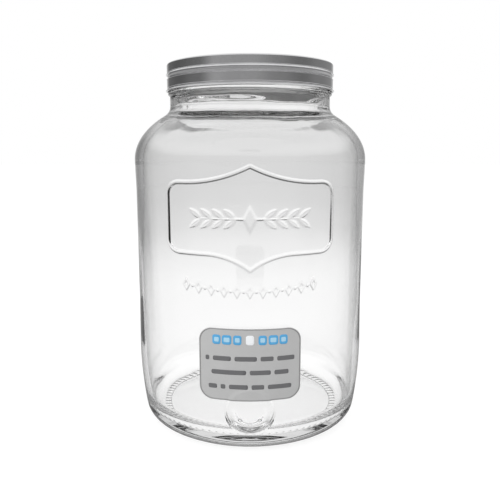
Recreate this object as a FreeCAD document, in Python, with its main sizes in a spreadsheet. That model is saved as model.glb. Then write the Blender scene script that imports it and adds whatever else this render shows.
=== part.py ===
"""Glass storage jar with a screw lid and a paper label, as a parametric document.

Millimetres. The jar stands on Z = 0 with its axis on Z, and its front looks along -Y.
"""
import FreeCAD, Part
import math
import os

import Sketcher

# alias, value, meaning
SIZES = (
    ("body_radius", 82.5, "outside of the wall where it is widest"),
    ("wall", 4.0, "glass thickness of the body and shoulder"),
    ("floor_thickness", 8.0, "glass above the bearing plane at the middle of the inside"),
    ("floor_corner_radius", 15.0, "rounding between the inside floor and the wall"),
    ("heel_height", 53.8, "where the straight wall starts"),
    ("heel_taper_radius", 280.8, "long arc that draws the wall in towards the foot"),
    ("heel_corner_radius", 10.6, "arc between the foot and the tapering wall"),
    ("bearing_width", 7.0, "flat ring that the jar stands on"),
    ("base_recess", 2.4, "rise of the underside at the axis"),
    ("shoulder_height", 187.0, "where the straight wall ends"),
    ("dome_height", 45.0, "upright half axis of the elliptical shoulder"),
    ("neck_radius", 56.8, "outside of the neck and of the finish above it"),
    ("neck_wall", 4.0, "glass thickness of the neck"),
    ("neck_outer_round", 8.0, "rounding between the shoulder and the neck, outside"),
    ("neck_inner_round", 12.0, "rounding between the shoulder and the neck, inside"),
    ("neck_length", 32.1, "from the shoulder's edge to the rim"),
    ("rim_round", 1.1, "rounding of both edges of the rim"),
    ("bead_radius", 1.3, "half-round bead on the neck below the lid"),
    ("bead_gap", 0.3, "between the bead and the lid's lower edge"),
    ("lid_sheet", 0.55, "steel thickness of the lid"),
    ("lid_clearance", 1.25, "between the finish and the inside of the lid"),
    ("lid_height", 18.3, "whole height of the lid"),
    ("lid_corner_radius", 2.2, "outside rounding of the lid's top edge"),
    ("lid_groove_depth", 0.8, "half-round groove rolled into the skirt"),
    ("lid_groove_drop", 8.4, "from the lid's top to the middle of the groove"),
    ("lid_hem_radius", 1.0, "rolled hem at the lower edge"),
    ("lid_panel_gap", 1.6, "between the mouth and the lid's sunk panel"),
    ("lid_panel_depth", 1.2, "how far the panel is sunk"),
    ("relief", 0.8, "height of the frame and the ornament above the wall"),
    ("frame_middle", 152.7, "height of the frame's middle"),
    ("frame_half_width", 50.6, "from the middle to the frame's upright side, inner edge"),
    ("frame_half_height", 20.6, "from the middle to the frame's level side, inner edge"),
    ("frame_band", 2.4, "width of the frame's band"),
    ("frame_corner_radius", 6.5, "rounding of the frame's corners, inner edge"),
    ("frame_point_rise", 9.8, "from the level side to the pointed middle"),
    ("frame_point_reach_top", 41.0, "where the upper point's curve runs out"),
    ("frame_point_reach_foot", 28.0, "where the lower point's curve runs out"),
    ("sprig_half_length", 38.0, "from the middle to the end of the sprig's stem"),
    ("sprig_stem", 1.6, "thickness of the stem at its root"),
    ("sprig_leaf_length", 9.6, "length of a leaf"),
    ("sprig_leaf_width", 3.6, "width of a leaf"),
    ("sprig_leaf_angle", 38.0, "between a leaf and the stem"),
    ("garland_height", 108.0, "height of the garland's middle bead"),
    ("garland_half_length", 40.0, "from the middle to the last lozenge"),
    ("garland_lift", 3.0, "how far the ends stand above the middle"),
    ("lozenge_width", 5.0, "width of a lozenge"),
    ("lozenge_height", 9.4, "height of a lozenge"),
    ("dot_radius", 1.1, "round dots between the lozenges"),
    ("boss_radius", 15.8, "round boss low on the front"),
    ("boss_height", 29.5, "height of the boss's middle"),
    ("boss_relief", 0.8, "how far the boss stands out"),
    ("label_sheet", 0.25, "thickness of the label"),
    ("label_middle", 60.8, "height of the label's middle"),
    ("label_half_width", 32.2, "from the label's middle to its side"),
    ("label_half_height", 23.7, "from the label's middle to its upper edge"),
    ("label_corner_radius", 8.5, "rounding of the label's corners"),
)

LEAF_PAIRS = 4
LOZENGE_COUNT = 11

document = FreeCAD.newDocument("storage_jar")


def make_sheet():
    """Return the spreadsheet that holds every driving size under its alias."""
    sheet = document.addObject("Spreadsheet::Sheet", "Sizes")
    for row, (alias, value, meaning) in enumerate(SIZES, start=1):
        sheet.set(f"A{row}", meaning)
        sheet.set(f"B{row}", str(value))
        sheet.setAlias(f"B{row}", alias)
    document.recompute()
    return sheet


SHEET = make_sheet()


def size(alias):
    """Return one driving size as a plain number."""
    return float(SHEET.get(alias))


class Outline:
    """A closed chain of lines and arcs in one sketch, whose measures are bound to the sheet."""

    def __init__(self, sketch):
        self.sketch = sketch
        self.pieces = []

    def add(self, shape, forward=True):
        """Add one piece of the chain and return its index."""
        index = self.sketch.addGeometry(shape)
        self.pieces.append((index, 1, 2) if forward else (index, 2, 1))
        return index

    def line(self, start, end):
        """Add a straight piece."""
        return self.add(Part.LineSegment(FreeCAD.Vector(*start, 0), FreeCAD.Vector(*end, 0)))

    def arc(self, centre, radius, begin, finish):
        """Add a circle's arc from angle begin to angle finish, in radians and either way round."""
        circle = Part.Circle(FreeCAD.Vector(*centre, 0), FreeCAD.Vector(0, 0, 1), radius)
        low, high = min(begin, finish), max(begin, finish)
        return self.add(Part.ArcOfCircle(circle, low, high), begin < finish)

    def ellipse_arc(self, centre, half_width, half_height, begin, finish):
        """Add a level ellipse's arc between two of its own angles."""
        middle = FreeCAD.Vector(*centre, 0)
        side = middle + FreeCAD.Vector(half_width, 0, 0)
        crown = middle + FreeCAD.Vector(0, half_height, 0)
        ellipse = Part.Ellipse(side, crown, middle)
        low, high = min(begin, finish), max(begin, finish)
        return self.add(Part.ArcOfEllipse(ellipse, low, high), begin < finish)

    def close(self, corners):
        """Join each piece to the next: at a plain corner if it is listed, otherwise smoothly."""
        for place, (index, _, last) in enumerate(self.pieces):
            following, first, _ = self.pieces[(place + 1) % len(self.pieces)]
            kind = "Coincident" if index in corners else "Tangent"
            self.rule(kind, index, last, following, first)

    def rule(self, kind, *places):
        """Add a constraint that needs no number."""
        self.sketch.addConstraint(Sketcher.Constraint(kind, *places))

    def bind(self, kind, places, value, expression):
        """Add a measured constraint and bind it to an expression of the sheet."""
        index = self.sketch.addConstraint(Sketcher.Constraint(kind, *places, value))
        self.sketch.setExpression(f"Constraints[{index}]", expression)

    def across(self, index, position, expression):
        """Bind a point's distance from the axis."""
        point = self.sketch.getPoint(index, position)
        self.bind("DistanceX", (-1, 1, index, position), point.x, expression)

    def up(self, index, position, expression):
        """Bind a point's height."""
        point = self.sketch.getPoint(index, position)
        self.bind("DistanceY", (-1, 1, index, position), point.y, expression)

    def radius(self, index, expression):
        """Bind an arc's radius."""
        self.bind("Radius", (index,), self.sketch.Geometry[index].Radius, expression)


START, MIDDLE, END = 1, 3, 2
QUARTER = math.pi / 2
ANGLE_STEP = 1e-13
FRONT_MARGIN = 10.0
FRONT_REACH = f"Sizes.body_radius + {FRONT_MARGIN}"
RIM = (
    "Sizes.shoulder_height + Sizes.dome_height"
    " * sqrt(1 - (Sizes.neck_radius / Sizes.body_radius)^2) + Sizes.neck_length"
)


def rim_height():
    """Return the rim's height: the neck's length above the edge where it meets the shoulder."""
    slope = math.sqrt(1 - (size("neck_radius") / size("body_radius")) ** 2)
    return size("shoulder_height") + size("dome_height") * slope + size("neck_length")


def neck_rounding(half_width, half_height, neck_radius, rounding):
    """Return how an arc rounds the corner between the shoulder ellipse and the neck.

    The result is the ellipse's angle at the contact, the arc's middle and the arc's first angle.
    """
    def reach(angle):
        slope = math.hypot(half_height * math.cos(angle), half_width * math.sin(angle))
        return (half_width + rounding * half_height / slope) * math.cos(angle)

    low, high = 0.0, QUARTER
    while high - low > ANGLE_STEP:
        middle = (low + high) / 2
        if reach(middle) > neck_radius + rounding:
            low = middle
        else:
            high = middle
    normal = math.atan2(half_width * math.sin(low), half_height * math.cos(low))
    contact_height = size("shoulder_height") + half_height * math.sin(low)
    centre = (neck_radius + rounding, contact_height + rounding * math.sin(normal))
    return low, centre, math.pi + normal


def taper_foot(taper_radius, corner_radius, corner_height):
    """Return the corner arc's middle and the angle where it meets the wall's long taper arc."""
    middle_x = size("body_radius") - size("heel_taper_radius")
    drop = size("heel_height") - corner_height
    reach = math.sqrt((taper_radius - corner_radius) ** 2 - drop ** 2)
    return middle_x + reach, -math.atan2(drop, reach)


def new_body(name):
    """Return an empty PartDesign body with its own label."""
    body = document.addObject("PartDesign::Body", name)
    body.Label = name
    return body


def front_sketch(body, name):
    """Return a new sketch on the body's XZ plane: across is X, up is Z."""
    sketch = body.newObject("Sketcher::SketchObject", name)
    plane = next(item for item in body.Origin.OriginFeatures if item.Role == "XZ_Plane")
    sketch.AttachmentSupport = (plane, [""])
    sketch.MapMode = "FlatFace"
    return sketch


def revolve(body, sketch, kind="PartDesign::Revolution"):
    """Turn a sketch round the upright axis, to add or to cut, and return the feature."""
    feature = body.newObject(kind, f"{sketch.Name}_turned")
    feature.Profile = sketch
    feature.ReferenceAxis = (sketch, ["V_Axis"])
    feature.Angle = 360
    sketch.Visibility = False
    document.recompute()
    return feature


def draw_glass_outside(sketch):
    """Draw the jar's filled outside: underside, heel, wall, shoulder, neck, bead and rim."""
    body_radius, neck_radius = size("body_radius"), size("neck_radius")
    rim, rim_round = rim_height(), size("rim_round")
    corner, taper = size("heel_corner_radius"), size("heel_taper_radius")
    foot_radius, foot_angle = taper_foot(taper, corner, corner)
    bearing_edge = foot_radius - size("bearing_width")
    recess = size("base_recess")
    recess_radius = (bearing_edge ** 2 + recess ** 2) / (2 * recess)
    recess_angle = math.asin(bearing_edge / recess_radius)
    dome_end, round_centre, round_begin = neck_rounding(
        body_radius, size("dome_height"), neck_radius, size("neck_outer_round")
    )
    bead = size("bead_radius")
    bead_height = rim + size("lid_sheet") - size("lid_height") - size("bead_gap") - bead

    outline = Outline(sketch)
    axis = outline.line((0, rim), (0, recess))
    dish = outline.arc((0, recess - recess_radius), recess_radius, QUARTER, QUARTER - recess_angle)
    bearing = outline.line((bearing_edge, 0), (foot_radius, 0))
    heel = outline.arc((foot_radius, corner), corner, -QUARTER, foot_angle)
    long_arc = outline.arc((body_radius - taper, size("heel_height")), taper, foot_angle, 0)
    side = outline.line((body_radius, size("heel_height")), (body_radius, size("shoulder_height")))
    dome = outline.ellipse_arc(
        (0, size("shoulder_height")), body_radius, size("dome_height"), 0, dome_end
    )
    rounding = outline.arc(round_centre, size("neck_outer_round"), round_begin, math.pi)
    neck = outline.line((neck_radius, round_centre[1]), (neck_radius, bead_height - bead))
    ring = outline.arc((neck_radius, bead_height), bead, -QUARTER, QUARTER)
    finish = outline.line((neck_radius, bead_height + bead), (neck_radius, rim - rim_round))
    lip = outline.arc((neck_radius - rim_round, rim - rim_round), rim_round, 0, QUARTER)
    top = outline.line((neck_radius - rim_round, rim), (0, rim))
    outline.close(corners=(axis, dish, neck, ring, top))

    outline.rule("PointOnObject", axis, START, -2)
    outline.rule("PointOnObject", axis, END, -2)
    outline.rule("PointOnObject", dish, MIDDLE, -2)
    outline.rule("Horizontal", bearing)
    outline.rule("PointOnObject", bearing, START, -1)
    outline.rule("Vertical", side)
    outline.rule("Vertical", neck)
    outline.rule("Vertical", finish)
    outline.rule("Horizontal", top)
    outline.up(axis, END, "Sizes.base_recess")
    outline.bind("DistanceX", (bearing, START, bearing, END), size("bearing_width"),
                 "Sizes.bearing_width")
    outline.radius(heel, "Sizes.heel_corner_radius")
    outline.radius(long_arc, "Sizes.heel_taper_radius")
    outline.across(side, START, "Sizes.body_radius")
    outline.up(side, START, "Sizes.heel_height")
    bind_dome(outline, dome, "Sizes.dome_height", size("dome_height"))
    outline.radius(rounding, "Sizes.neck_outer_round")
    outline.across(neck, START, "Sizes.neck_radius")
    outline.across(finish, START, "Sizes.neck_radius")
    outline.rule("PointOnObject", ring, MIDDLE, neck)
    outline.radius(ring, "Sizes.bead_radius")
    outline.up(ring, MIDDLE, f"{RIM} + Sizes.lid_sheet - Sizes.lid_height - Sizes.bead_gap"
                             " - Sizes.bead_radius")
    outline.radius(lip, "Sizes.rim_round")
    outline.up(axis, START, RIM)


def bind_dome(outline, dome, expression, half_height):
    """Bind the shoulder ellipse: its middle on the axis and its upright half axis."""
    sketch = outline.sketch
    outline.rule("PointOnObject", dome, MIDDLE, -2)
    outline.up(dome, MIDDLE, "Sizes.shoulder_height")
    sketch.exposeInternalGeometry(dome)
    level_axis, upright_axis = sketch.GeometryCount - 4, sketch.GeometryCount - 3
    outline.rule("Horizontal", level_axis)
    outline.bind("Distance", (upright_axis,), 2 * half_height, f"2 * ({expression})")


def draw_glass_inside(sketch):
    """Draw the hollow: floor, rounded corner, tapering wall, shoulder, neck and rounded mouth."""
    wall, floor = size("wall"), size("floor_thickness")
    side_radius, mouth = size("body_radius") - wall, size("neck_radius") - size("neck_wall")
    rim, rim_round = rim_height(), size("rim_round")
    corner, taper = size("floor_corner_radius"), size("heel_taper_radius") - wall
    floor_radius, floor_angle = taper_foot(taper, corner, floor + corner)
    half_height = size("dome_height") - wall
    dome_end, round_centre, round_begin = neck_rounding(
        side_radius, half_height, mouth, size("neck_inner_round")
    )

    outline = Outline(sketch)
    axis = outline.line((0, rim), (0, floor))
    base = outline.line((0, floor), (floor_radius, floor))
    corner_arc = outline.arc((floor_radius, floor + corner), corner, -QUARTER, floor_angle)
    long_arc = outline.arc((side_radius - taper, size("heel_height")), taper, floor_angle, 0)
    side = outline.line((side_radius, size("heel_height")), (side_radius, size("shoulder_height")))
    dome = outline.ellipse_arc(
        (0, size("shoulder_height")), side_radius, half_height, 0, dome_end
    )
    rounding = outline.arc(round_centre, size("neck_inner_round"), round_begin, math.pi)
    neck = outline.line((mouth, round_centre[1]), (mouth, rim - rim_round))
    lip = outline.arc((mouth + rim_round, rim - rim_round), rim_round, math.pi, QUARTER)
    top = outline.line((mouth + rim_round, rim), (0, rim))
    outline.close(corners=(axis, lip, top))

    outline.rule("PointOnObject", axis, START, -2)
    outline.rule("PointOnObject", axis, END, -2)
    outline.rule("Horizontal", base)
    outline.rule("Vertical", side)
    outline.rule("Vertical", neck)
    outline.rule("Horizontal", top)
    outline.rule("Vertical", lip, MIDDLE, lip, START)
    outline.up(axis, END, "Sizes.floor_thickness")
    outline.radius(corner_arc, "Sizes.floor_corner_radius")
    outline.radius(long_arc, "Sizes.heel_taper_radius - Sizes.wall")
    outline.across(side, START, "Sizes.body_radius - Sizes.wall")
    outline.up(side, START, "Sizes.heel_height")
    bind_dome(outline, dome, "Sizes.dome_height - Sizes.wall", half_height)
    outline.radius(rounding, "Sizes.neck_inner_round")
    outline.across(neck, START, "Sizes.neck_radius - Sizes.neck_wall")
    outline.radius(lip, "Sizes.rim_round")
    outline.up(axis, START, RIM)


def make_vessel():
    """Return the plain glass vessel: the turned outside less the turned hollow, edges rounded."""
    body = new_body("vessel")
    outside = front_sketch(body, "glass_outside")
    draw_glass_outside(outside)
    filled = revolve(body, outside).Shape.Volume
    inside = front_sketch(body, "glass_inside")
    draw_glass_inside(inside)
    hollow = revolve(body, inside, "PartDesign::Groove")
    if hollow.Shape.Volume >= filled:
        raise ValueError("the hollow cuts nothing from the glass")

    return body


LID_INSIDE = "Sizes.neck_radius + Sizes.lid_clearance"
LID_OUTSIDE = f"{LID_INSIDE} + Sizes.lid_sheet"
LID_TOP = f"{RIM} + Sizes.lid_sheet"
PANEL_EDGE = "Sizes.neck_radius - Sizes.neck_wall - Sizes.lid_panel_gap"


def draw_lid(sketch):
    """Draw the lid's sheet as one closed outline: along the outside, round the hem, back inside."""
    sheet, rim = size("lid_sheet"), rim_height()
    inside = size("neck_radius") + size("lid_clearance")
    outside, corner = inside + sheet, size("lid_corner_radius")
    top, foot = rim + sheet, rim + sheet - size("lid_height")
    panel = size("neck_radius") - size("neck_wall") - size("lid_panel_gap")
    sunk, hem = size("lid_panel_depth"), size("lid_hem_radius")
    depth, groove_height = size("lid_groove_depth"), top - size("lid_groove_drop")
    ridge_turn = math.acos(sheet / (depth + sheet))
    ridge_half = (depth + sheet) * math.sin(ridge_turn)

    outline = Outline(sketch)
    axis = outline.line((0, rim - sunk), (0, top - sunk))
    panel_top = outline.line((0, top - sunk), (panel - sheet, top - sunk))
    step_top = outline.line((panel - sheet, top - sunk), (panel - sheet + sunk, top))
    ring_top = outline.line((panel - sheet + sunk, top), (outside - corner, top))
    corner_top = outline.arc((outside - corner, top - corner), corner, QUARTER, 0)
    skirt = outline.line((outside, top - corner), (outside, groove_height + depth))
    groove = outline.arc((outside, groove_height), depth, QUARTER, 3 * QUARTER)
    lower_skirt = outline.line((outside, groove_height - depth), (outside, foot + 2 * hem))
    hem_arc = outline.arc((outside, foot + hem), hem, QUARTER, -QUARTER)
    edge = outline.line((outside, foot), (inside, foot))
    lower_inside = outline.line((inside, foot), (inside, groove_height - ridge_half))
    ridge = outline.arc(
        (outside, groove_height), depth + sheet, math.pi + ridge_turn, math.pi - ridge_turn
    )
    upper_inside = outline.line((inside, groove_height + ridge_half), (inside, top - corner))
    corner_inside = outline.arc(
        (outside - corner, top - corner), corner - sheet, 0, QUARTER
    )
    ring_inside = outline.line((outside - corner, rim), (panel + sunk, rim))
    step_inside = outline.line((panel + sunk, rim), (panel, rim - sunk))
    panel_inside = outline.line((panel, rim - sunk), (0, rim - sunk))
    smooth = (ring_top, corner_top, upper_inside, corner_inside)
    outline.close(corners=[index for index, _, _ in outline.pieces if index not in smooth])

    outline.rule("PointOnObject", axis, START, -2)
    outline.rule("PointOnObject", axis, END, -2)
    for level in (panel_top, ring_top, edge, ring_inside, panel_inside):
        outline.rule("Horizontal", level)
    for upright in (skirt, lower_skirt, lower_inside, upper_inside):
        outline.rule("Vertical", upright)
    outline.rule("PointOnObject", groove, MIDDLE, skirt)
    outline.rule("PointOnObject", hem_arc, MIDDLE, lower_skirt)
    outline.rule("Vertical", hem_arc, START, hem_arc, END)
    outline.rule("Coincident", ridge, MIDDLE, groove, MIDDLE)
    outline.rule("Coincident", corner_inside, MIDDLE, corner_top, MIDDLE)
    outline.up(axis, START, f"{RIM} - Sizes.lid_panel_depth")
    outline.up(axis, END, f"{LID_TOP} - Sizes.lid_panel_depth")
    outline.across(panel_top, END, f"{PANEL_EDGE} - Sizes.lid_sheet")
    outline.across(step_top, END, f"{PANEL_EDGE} - Sizes.lid_sheet + Sizes.lid_panel_depth")
    outline.up(step_top, END, LID_TOP)
    outline.radius(corner_top, "Sizes.lid_corner_radius")
    outline.across(skirt, START, LID_OUTSIDE)
    outline.up(groove, MIDDLE, f"{LID_TOP} - Sizes.lid_groove_drop")
    outline.radius(groove, "Sizes.lid_groove_depth")
    outline.across(lower_skirt, START, LID_OUTSIDE)
    outline.radius(hem_arc, "Sizes.lid_hem_radius")
    outline.up(edge, START, f"{LID_TOP} - Sizes.lid_height")
    outline.across(lower_inside, START, LID_INSIDE)
    outline.radius(ridge, "Sizes.lid_groove_depth + Sizes.lid_sheet")
    outline.up(ring_inside, START, RIM)
    outline.across(ring_inside, END, f"{PANEL_EDGE} + Sizes.lid_panel_depth")
    outline.across(step_inside, END, PANEL_EDGE)


def make_lid():
    """Return the steel lid: a thin turned shell whose ring lies on the jar's rim."""
    body = new_body("screw_lid")
    sketch = front_sketch(body, "lid_sheet_outline")
    draw_lid(sketch)
    revolve(body, sketch)
    return body


def draw_wall_band(sketch, inner, outer):
    """Draw a band that follows the wall from the heel's corner to the shoulder.

    inner and outer are (value, expression) pairs: how far each face lies outside the glass.
    """
    foot, heel = size("heel_corner_radius"), size("heel_height")
    shoulder, radius = size("shoulder_height"), size("body_radius")
    taper = size("heel_taper_radius")

    def foot_angle(offset):
        return -math.asin((heel - foot) / (taper + offset))

    low, high = inner[0], outer[0]
    outline = Outline(sketch)
    centre = (radius - taper, heel)
    top = outline.line((radius + low, shoulder), (radius + high, shoulder))
    outer_side = outline.line((radius + high, shoulder), (radius + high, heel))
    outer_arc = outline.arc(centre, taper + high, 0, foot_angle(high))
    bottom_out = centre[0] + (taper + high) * math.cos(foot_angle(high))
    bottom_in = centre[0] + (taper + low) * math.cos(foot_angle(low))
    bottom = outline.line((bottom_out, foot), (bottom_in, foot))
    inner_arc = outline.arc(centre, taper + low, foot_angle(low), 0)
    inner_side = outline.line((radius + low, heel), (radius + low, shoulder))
    outline.close(corners=(top, outer_arc, bottom, inner_side))

    outline.rule("Horizontal", top)
    outline.rule("Horizontal", bottom)
    outline.rule("Vertical", outer_side)
    outline.rule("Vertical", inner_side)
    outline.up(top, START, "Sizes.shoulder_height")
    outline.up(bottom, START, "Sizes.heel_corner_radius")
    for side, arc, (_, expression) in ((outer_side, outer_arc, outer), (inner_side, inner_arc, inner)):
        outline.across(side, START, f"Sizes.body_radius + {expression}")
        outline.up(arc, MIDDLE, "Sizes.heel_height")
        outline.radius(arc, f"Sizes.heel_taper_radius + {expression}")


def make_wall_band(name, inner, outer):
    """Return a turned shell that follows the wall between two distances outside the glass."""
    body = new_body(name)
    sketch = front_sketch(body, f"{name}_outline")
    draw_wall_band(sketch, inner, outer)
    revolve(body, sketch)
    return body


def draw_frame(sketch):
    """Draw the frame's inner edge: a rounded plaque with a point above and below its middle."""
    middle, radius = size("frame_middle"), size("frame_corner_radius")
    half_width, half_height = size("frame_half_width"), size("frame_half_height")
    rise = size("frame_point_rise")
    names = {1: "frame_point_reach_top", -1: "frame_point_reach_foot"}
    outline = Outline(sketch)
    uprights, levels, corners, points = [], [], [], []

    def corner(side, up):
        centre = (side * (half_width - radius), middle + up * (half_height - radius))
        begin = {(1, 1): 0, (-1, 1): 1, (-1, -1): 2, (1, -1): 3}[side, up] * QUARTER
        corners.append(outline.arc(centre, radius, begin, begin + QUARTER))

    def level(side, up, outwards):
        height = middle + up * half_height
        ends = [(side * size(names[up]), height), (side * (half_width - radius), height)]
        if not outwards:
            ends.reverse()
        levels.append((outline.line(*ends), START if outwards else END, side, up))

    def point(side, up):
        reach = size(names[up])
        sweep = (reach ** 2 + rise ** 2) / (2 * rise)
        turn = math.asin(reach / sweep)
        centre = (side * reach, middle + up * (half_height + sweep))
        begin = -up * QUARTER + (0 if side == up else turn)
        index = outline.arc(centre, sweep, begin, begin - turn)
        if side == up:
            points.append((index, up))

    for side in (1, -1):
        ends = [(side * half_width, middle - side * (half_height - radius)),
                (side * half_width, middle + side * (half_height - radius))]
        uprights.append((outline.line(*ends), side))
        corner(side, side)
        level(side, side, outwards=False)
        point(side, side)
        point(-side, side)
        level(-side, side, outwards=True)
        corner(-side, side)
    outline.close(corners=[index for index, _ in points])

    for index, side in uprights:
        outline.rule("Vertical", index)
        outline.across(index, START, f"{side} * Sizes.frame_half_width")
    for index in corners:
        outline.radius(index, "Sizes.frame_corner_radius")
    for index, inner, side, up in levels:
        outline.rule("Horizontal", index)
        outline.across(index, inner, f"{side} * Sizes.{names[up]}")
        outline.up(index, inner, f"Sizes.frame_middle + {up} * Sizes.frame_half_height")
    for index, up in points:
        outline.rule("PointOnObject", index, START, -2)
        outline.up(index, START, f"Sizes.frame_middle + {up} * (Sizes.frame_half_height"
                                 " + Sizes.frame_point_rise)")


def draw_label(sketch):
    """Draw the label's outline: a rounded rectangle about the jar's middle line."""
    middle, radius = size("label_middle"), size("label_corner_radius")
    half_width, half_height = size("label_half_width"), size("label_half_height")
    outline = Outline(sketch)
    inner_x, inner_z = half_width - radius, half_height - radius
    for turn, (side, up) in enumerate(((1, 1), (-1, 1), (-1, -1), (1, -1))):
        if turn % 2 == 0:
            edge = outline.line((side * half_width, middle - side * inner_z),
                                (side * half_width, middle + side * inner_z))
            outline.rule("Vertical", edge)
            outline.across(edge, START, f"{side} * Sizes.label_half_width")
        else:
            edge = outline.line((-side * inner_x, middle + up * half_height),
                                (side * inner_x, middle + up * half_height))
            outline.rule("Horizontal", edge)
            outline.up(edge, START, f"Sizes.label_middle + {up} * Sizes.label_half_height")
        centre = (side * inner_x, middle + up * inner_z)
        corner = outline.arc(centre, radius, turn * QUARTER, (turn + 1) * QUARTER)
        outline.radius(corner, "Sizes.label_corner_radius")
    outline.close(corners=())


def free_sketch(name):
    """Return a sketch outside any body, upright and facing the jar's front."""
    sketch = document.addObject("Sketcher::SketchObject", name)
    upright = FreeCAD.Rotation(FreeCAD.Vector(1, 0, 0), 90)
    sketch.Placement = FreeCAD.Placement(FreeCAD.Vector(0, 0, 0), upright)
    return sketch


def push_forward(name, base):
    """Return a prism from a flat outline at the axis, out through the jar's front."""
    prism = document.addObject("Part::Extrusion", name)
    prism.Base = base
    prism.DirMode = "Custom"
    prism.Dir = FreeCAD.Vector(0, -1, 0)
    prism.Solid = True
    prism.setExpression("LengthFwd", FRONT_REACH)
    return prism


def front_cylinder(name, radius_expression):
    """Return a round prism on the boss's middle, from the axis out through the jar's front."""
    cylinder = document.addObject("Part::Cylinder", name)
    cylinder.setExpression("Radius", radius_expression)
    cylinder.setExpression("Height", FRONT_REACH)
    cylinder.Placement.Rotation = FreeCAD.Rotation(FreeCAD.Vector(1, 0, 0), 90)
    cylinder.setExpression("Placement.Base.z", "Sizes.boss_height")
    return cylinder


def combine(kind, name, first, second):
    """Return a boolean of two objects: Part::Cut takes the second from the first."""
    result = document.addObject(kind, name)
    if kind == "Part::Cut":
        result.Base, result.Tool = first, second
    else:
        result.Shapes = [first, second]
    return result


def lozenge(middle, half_width, half_height):
    """Return the corners of an upright lozenge."""
    x, z = middle
    return [(x + half_width, z), (x, z + half_height), (x - half_width, z), (x, z - half_height)]


def flat_face(points):
    """Return a face from straight sides in the plane of the axis, given as (across, up)."""
    corners = [FreeCAD.Vector(x, 0, z) for x, z in points]
    return Part.Face(Part.makePolygon(corners + corners[:1]))


def leaf_face(root, angle):
    """Return a leaf between two equal arcs, from its root outwards at an angle."""
    length, half_width = size("sprig_leaf_length"), size("sprig_leaf_width") / 2
    along = FreeCAD.Vector(math.cos(angle), 0, math.sin(angle))
    across = FreeCAD.Vector(-math.sin(angle), 0, math.cos(angle))
    start = FreeCAD.Vector(root[0], 0, root[1])
    end = start + along * length
    middle = start + along * (length / 2)
    upper = Part.Arc(start, middle + across * half_width, end).toShape()
    lower = Part.Arc(end, middle - across * half_width, start).toShape()
    return Part.Face(Part.Wire([upper, lower]))


def sprig_faces():
    """Return the sprig in the frame: a middle lozenge, a tapering stem and pairs of leaves."""
    middle, half_length = size("frame_middle"), size("sprig_half_length")
    half_stem, angle = size("sprig_stem") / 2, math.radians(size("sprig_leaf_angle"))
    bud = size("lozenge_width")
    faces = [flat_face(lozenge((0, middle), bud, size("lozenge_height")))]
    pitch = (half_length - bud - size("sprig_leaf_length") / 2) / LEAF_PAIRS
    for side in (1, -1):
        faces.append(flat_face([
            (side * bud / 2, middle - half_stem),
            (side * half_length, middle),
            (side * bud / 2, middle + half_stem),
        ]))
        for pair in range(LEAF_PAIRS):
            across = side * (bud + pitch * (pair + 0.5))
            for up in (1, -1):
                lean = up * angle if side > 0 else math.pi - up * angle
                faces.append(leaf_face((across, middle), lean))
    return faces


def garland_faces():
    """Return the garland below the frame: lozenges and dots by turns on a hanging curve."""
    half_length, lift = size("garland_half_length"), size("garland_lift")
    half_width, half_height = size("lozenge_width") / 2, size("lozenge_height") / 2
    places = 2 * LOZENGE_COUNT - 1
    faces = []
    for place in range(places):
        share = 2 * place / (places - 1) - 1
        x, z = share * half_length, size("garland_height") + lift * share ** 2
        if place % 2 == 0:
            faces.append(flat_face(lozenge((x, z), half_width, half_height)))
        else:
            ring = Part.makeCircle(size("dot_radius"), FreeCAD.Vector(x, 0, z), FreeCAD.Vector(0, 1, 0))
            faces.append(Part.Face(Part.Wire([ring])))
    return faces


def make_ornament():
    """Return the prisms of the sprig and the garland as one feature."""
    reach = FreeCAD.Vector(0, -(size("body_radius") + FRONT_MARGIN), 0)
    sprig, *rest = [face.extrude(reach) for face in sprig_faces()]
    ornament = document.addObject("Part::Feature", "ornament_prisms")
    ornament.Shape = Part.makeCompound(
        [sprig.fuse(rest)] + [face.extrude(reach) for face in garland_faces()]
    )
    return ornament


def make_glass(boss):
    """Return the jar's one glass piece: the vessel with its moulded frame, ornament and boss."""
    vessel = make_vessel()
    skin = make_wall_band(
        "relief_skin", (-size("wall") / 2, "(-Sizes.wall / 2)"), (size("relief"), "Sizes.relief")
    )
    line = free_sketch("frame_edge")
    draw_frame(line)
    band = document.addObject("Part::Offset2D", "frame_band_face")
    band.Source = line
    band.setExpression("Value", "Sizes.frame_band")
    band.Join = "Intersection"
    band.Fill = True
    frame = combine("Part::MultiCommon", "frame_relief", push_forward("frame_prism", band), skin)
    ornament = combine("Part::MultiCommon", "ornament_relief", make_ornament(), skin)
    glass = document.addObject("Part::MultiFuse", "jar_glass")
    glass.Shapes = [vessel, frame, ornament, boss]
    glass.Label = "jar_glass"
    return glass


def make_boss():
    """Return the round boss on the heel, rooted inside the wall."""
    skin = make_wall_band(
        "boss_skin", (-size("wall") / 2, "(-Sizes.wall / 2)"),
        (size("boss_relief"), "Sizes.boss_relief")
    )
    prism = front_cylinder("boss_prism", "Sizes.boss_radius")
    return combine("Part::MultiCommon", "boss_disc", prism, skin)


def make_label(boss):
    """Return the label: a thin skin on the wall that steps up over the boss."""
    sheet, raised = size("label_sheet"), size("boss_relief") + size("label_sheet")
    skin = make_wall_band("label_skin", (0.0, "0"), (sheet, "Sizes.label_sheet"))
    raised_skin = make_wall_band(
        "raised_label_skin", (0.0, "0"), (raised, "(Sizes.boss_relief + Sizes.label_sheet)")
    )
    cap = combine(
        "Part::MultiCommon", "label_over_boss",
        front_cylinder("label_boss_prism", "Sizes.boss_radius + Sizes.label_sheet"), raised_skin
    )
    outline = free_sketch("label_outline")
    draw_label(outline)
    draped = combine("Part::MultiFuse", "draped_skin", skin, cap)
    sheet_piece = combine(
        "Part::MultiCommon", "label_blank", push_forward("label_prism", outline), draped
    )
    label = combine("Part::Cut", "label", sheet_piece, boss)
    label.Label = "label"
    return label


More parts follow.
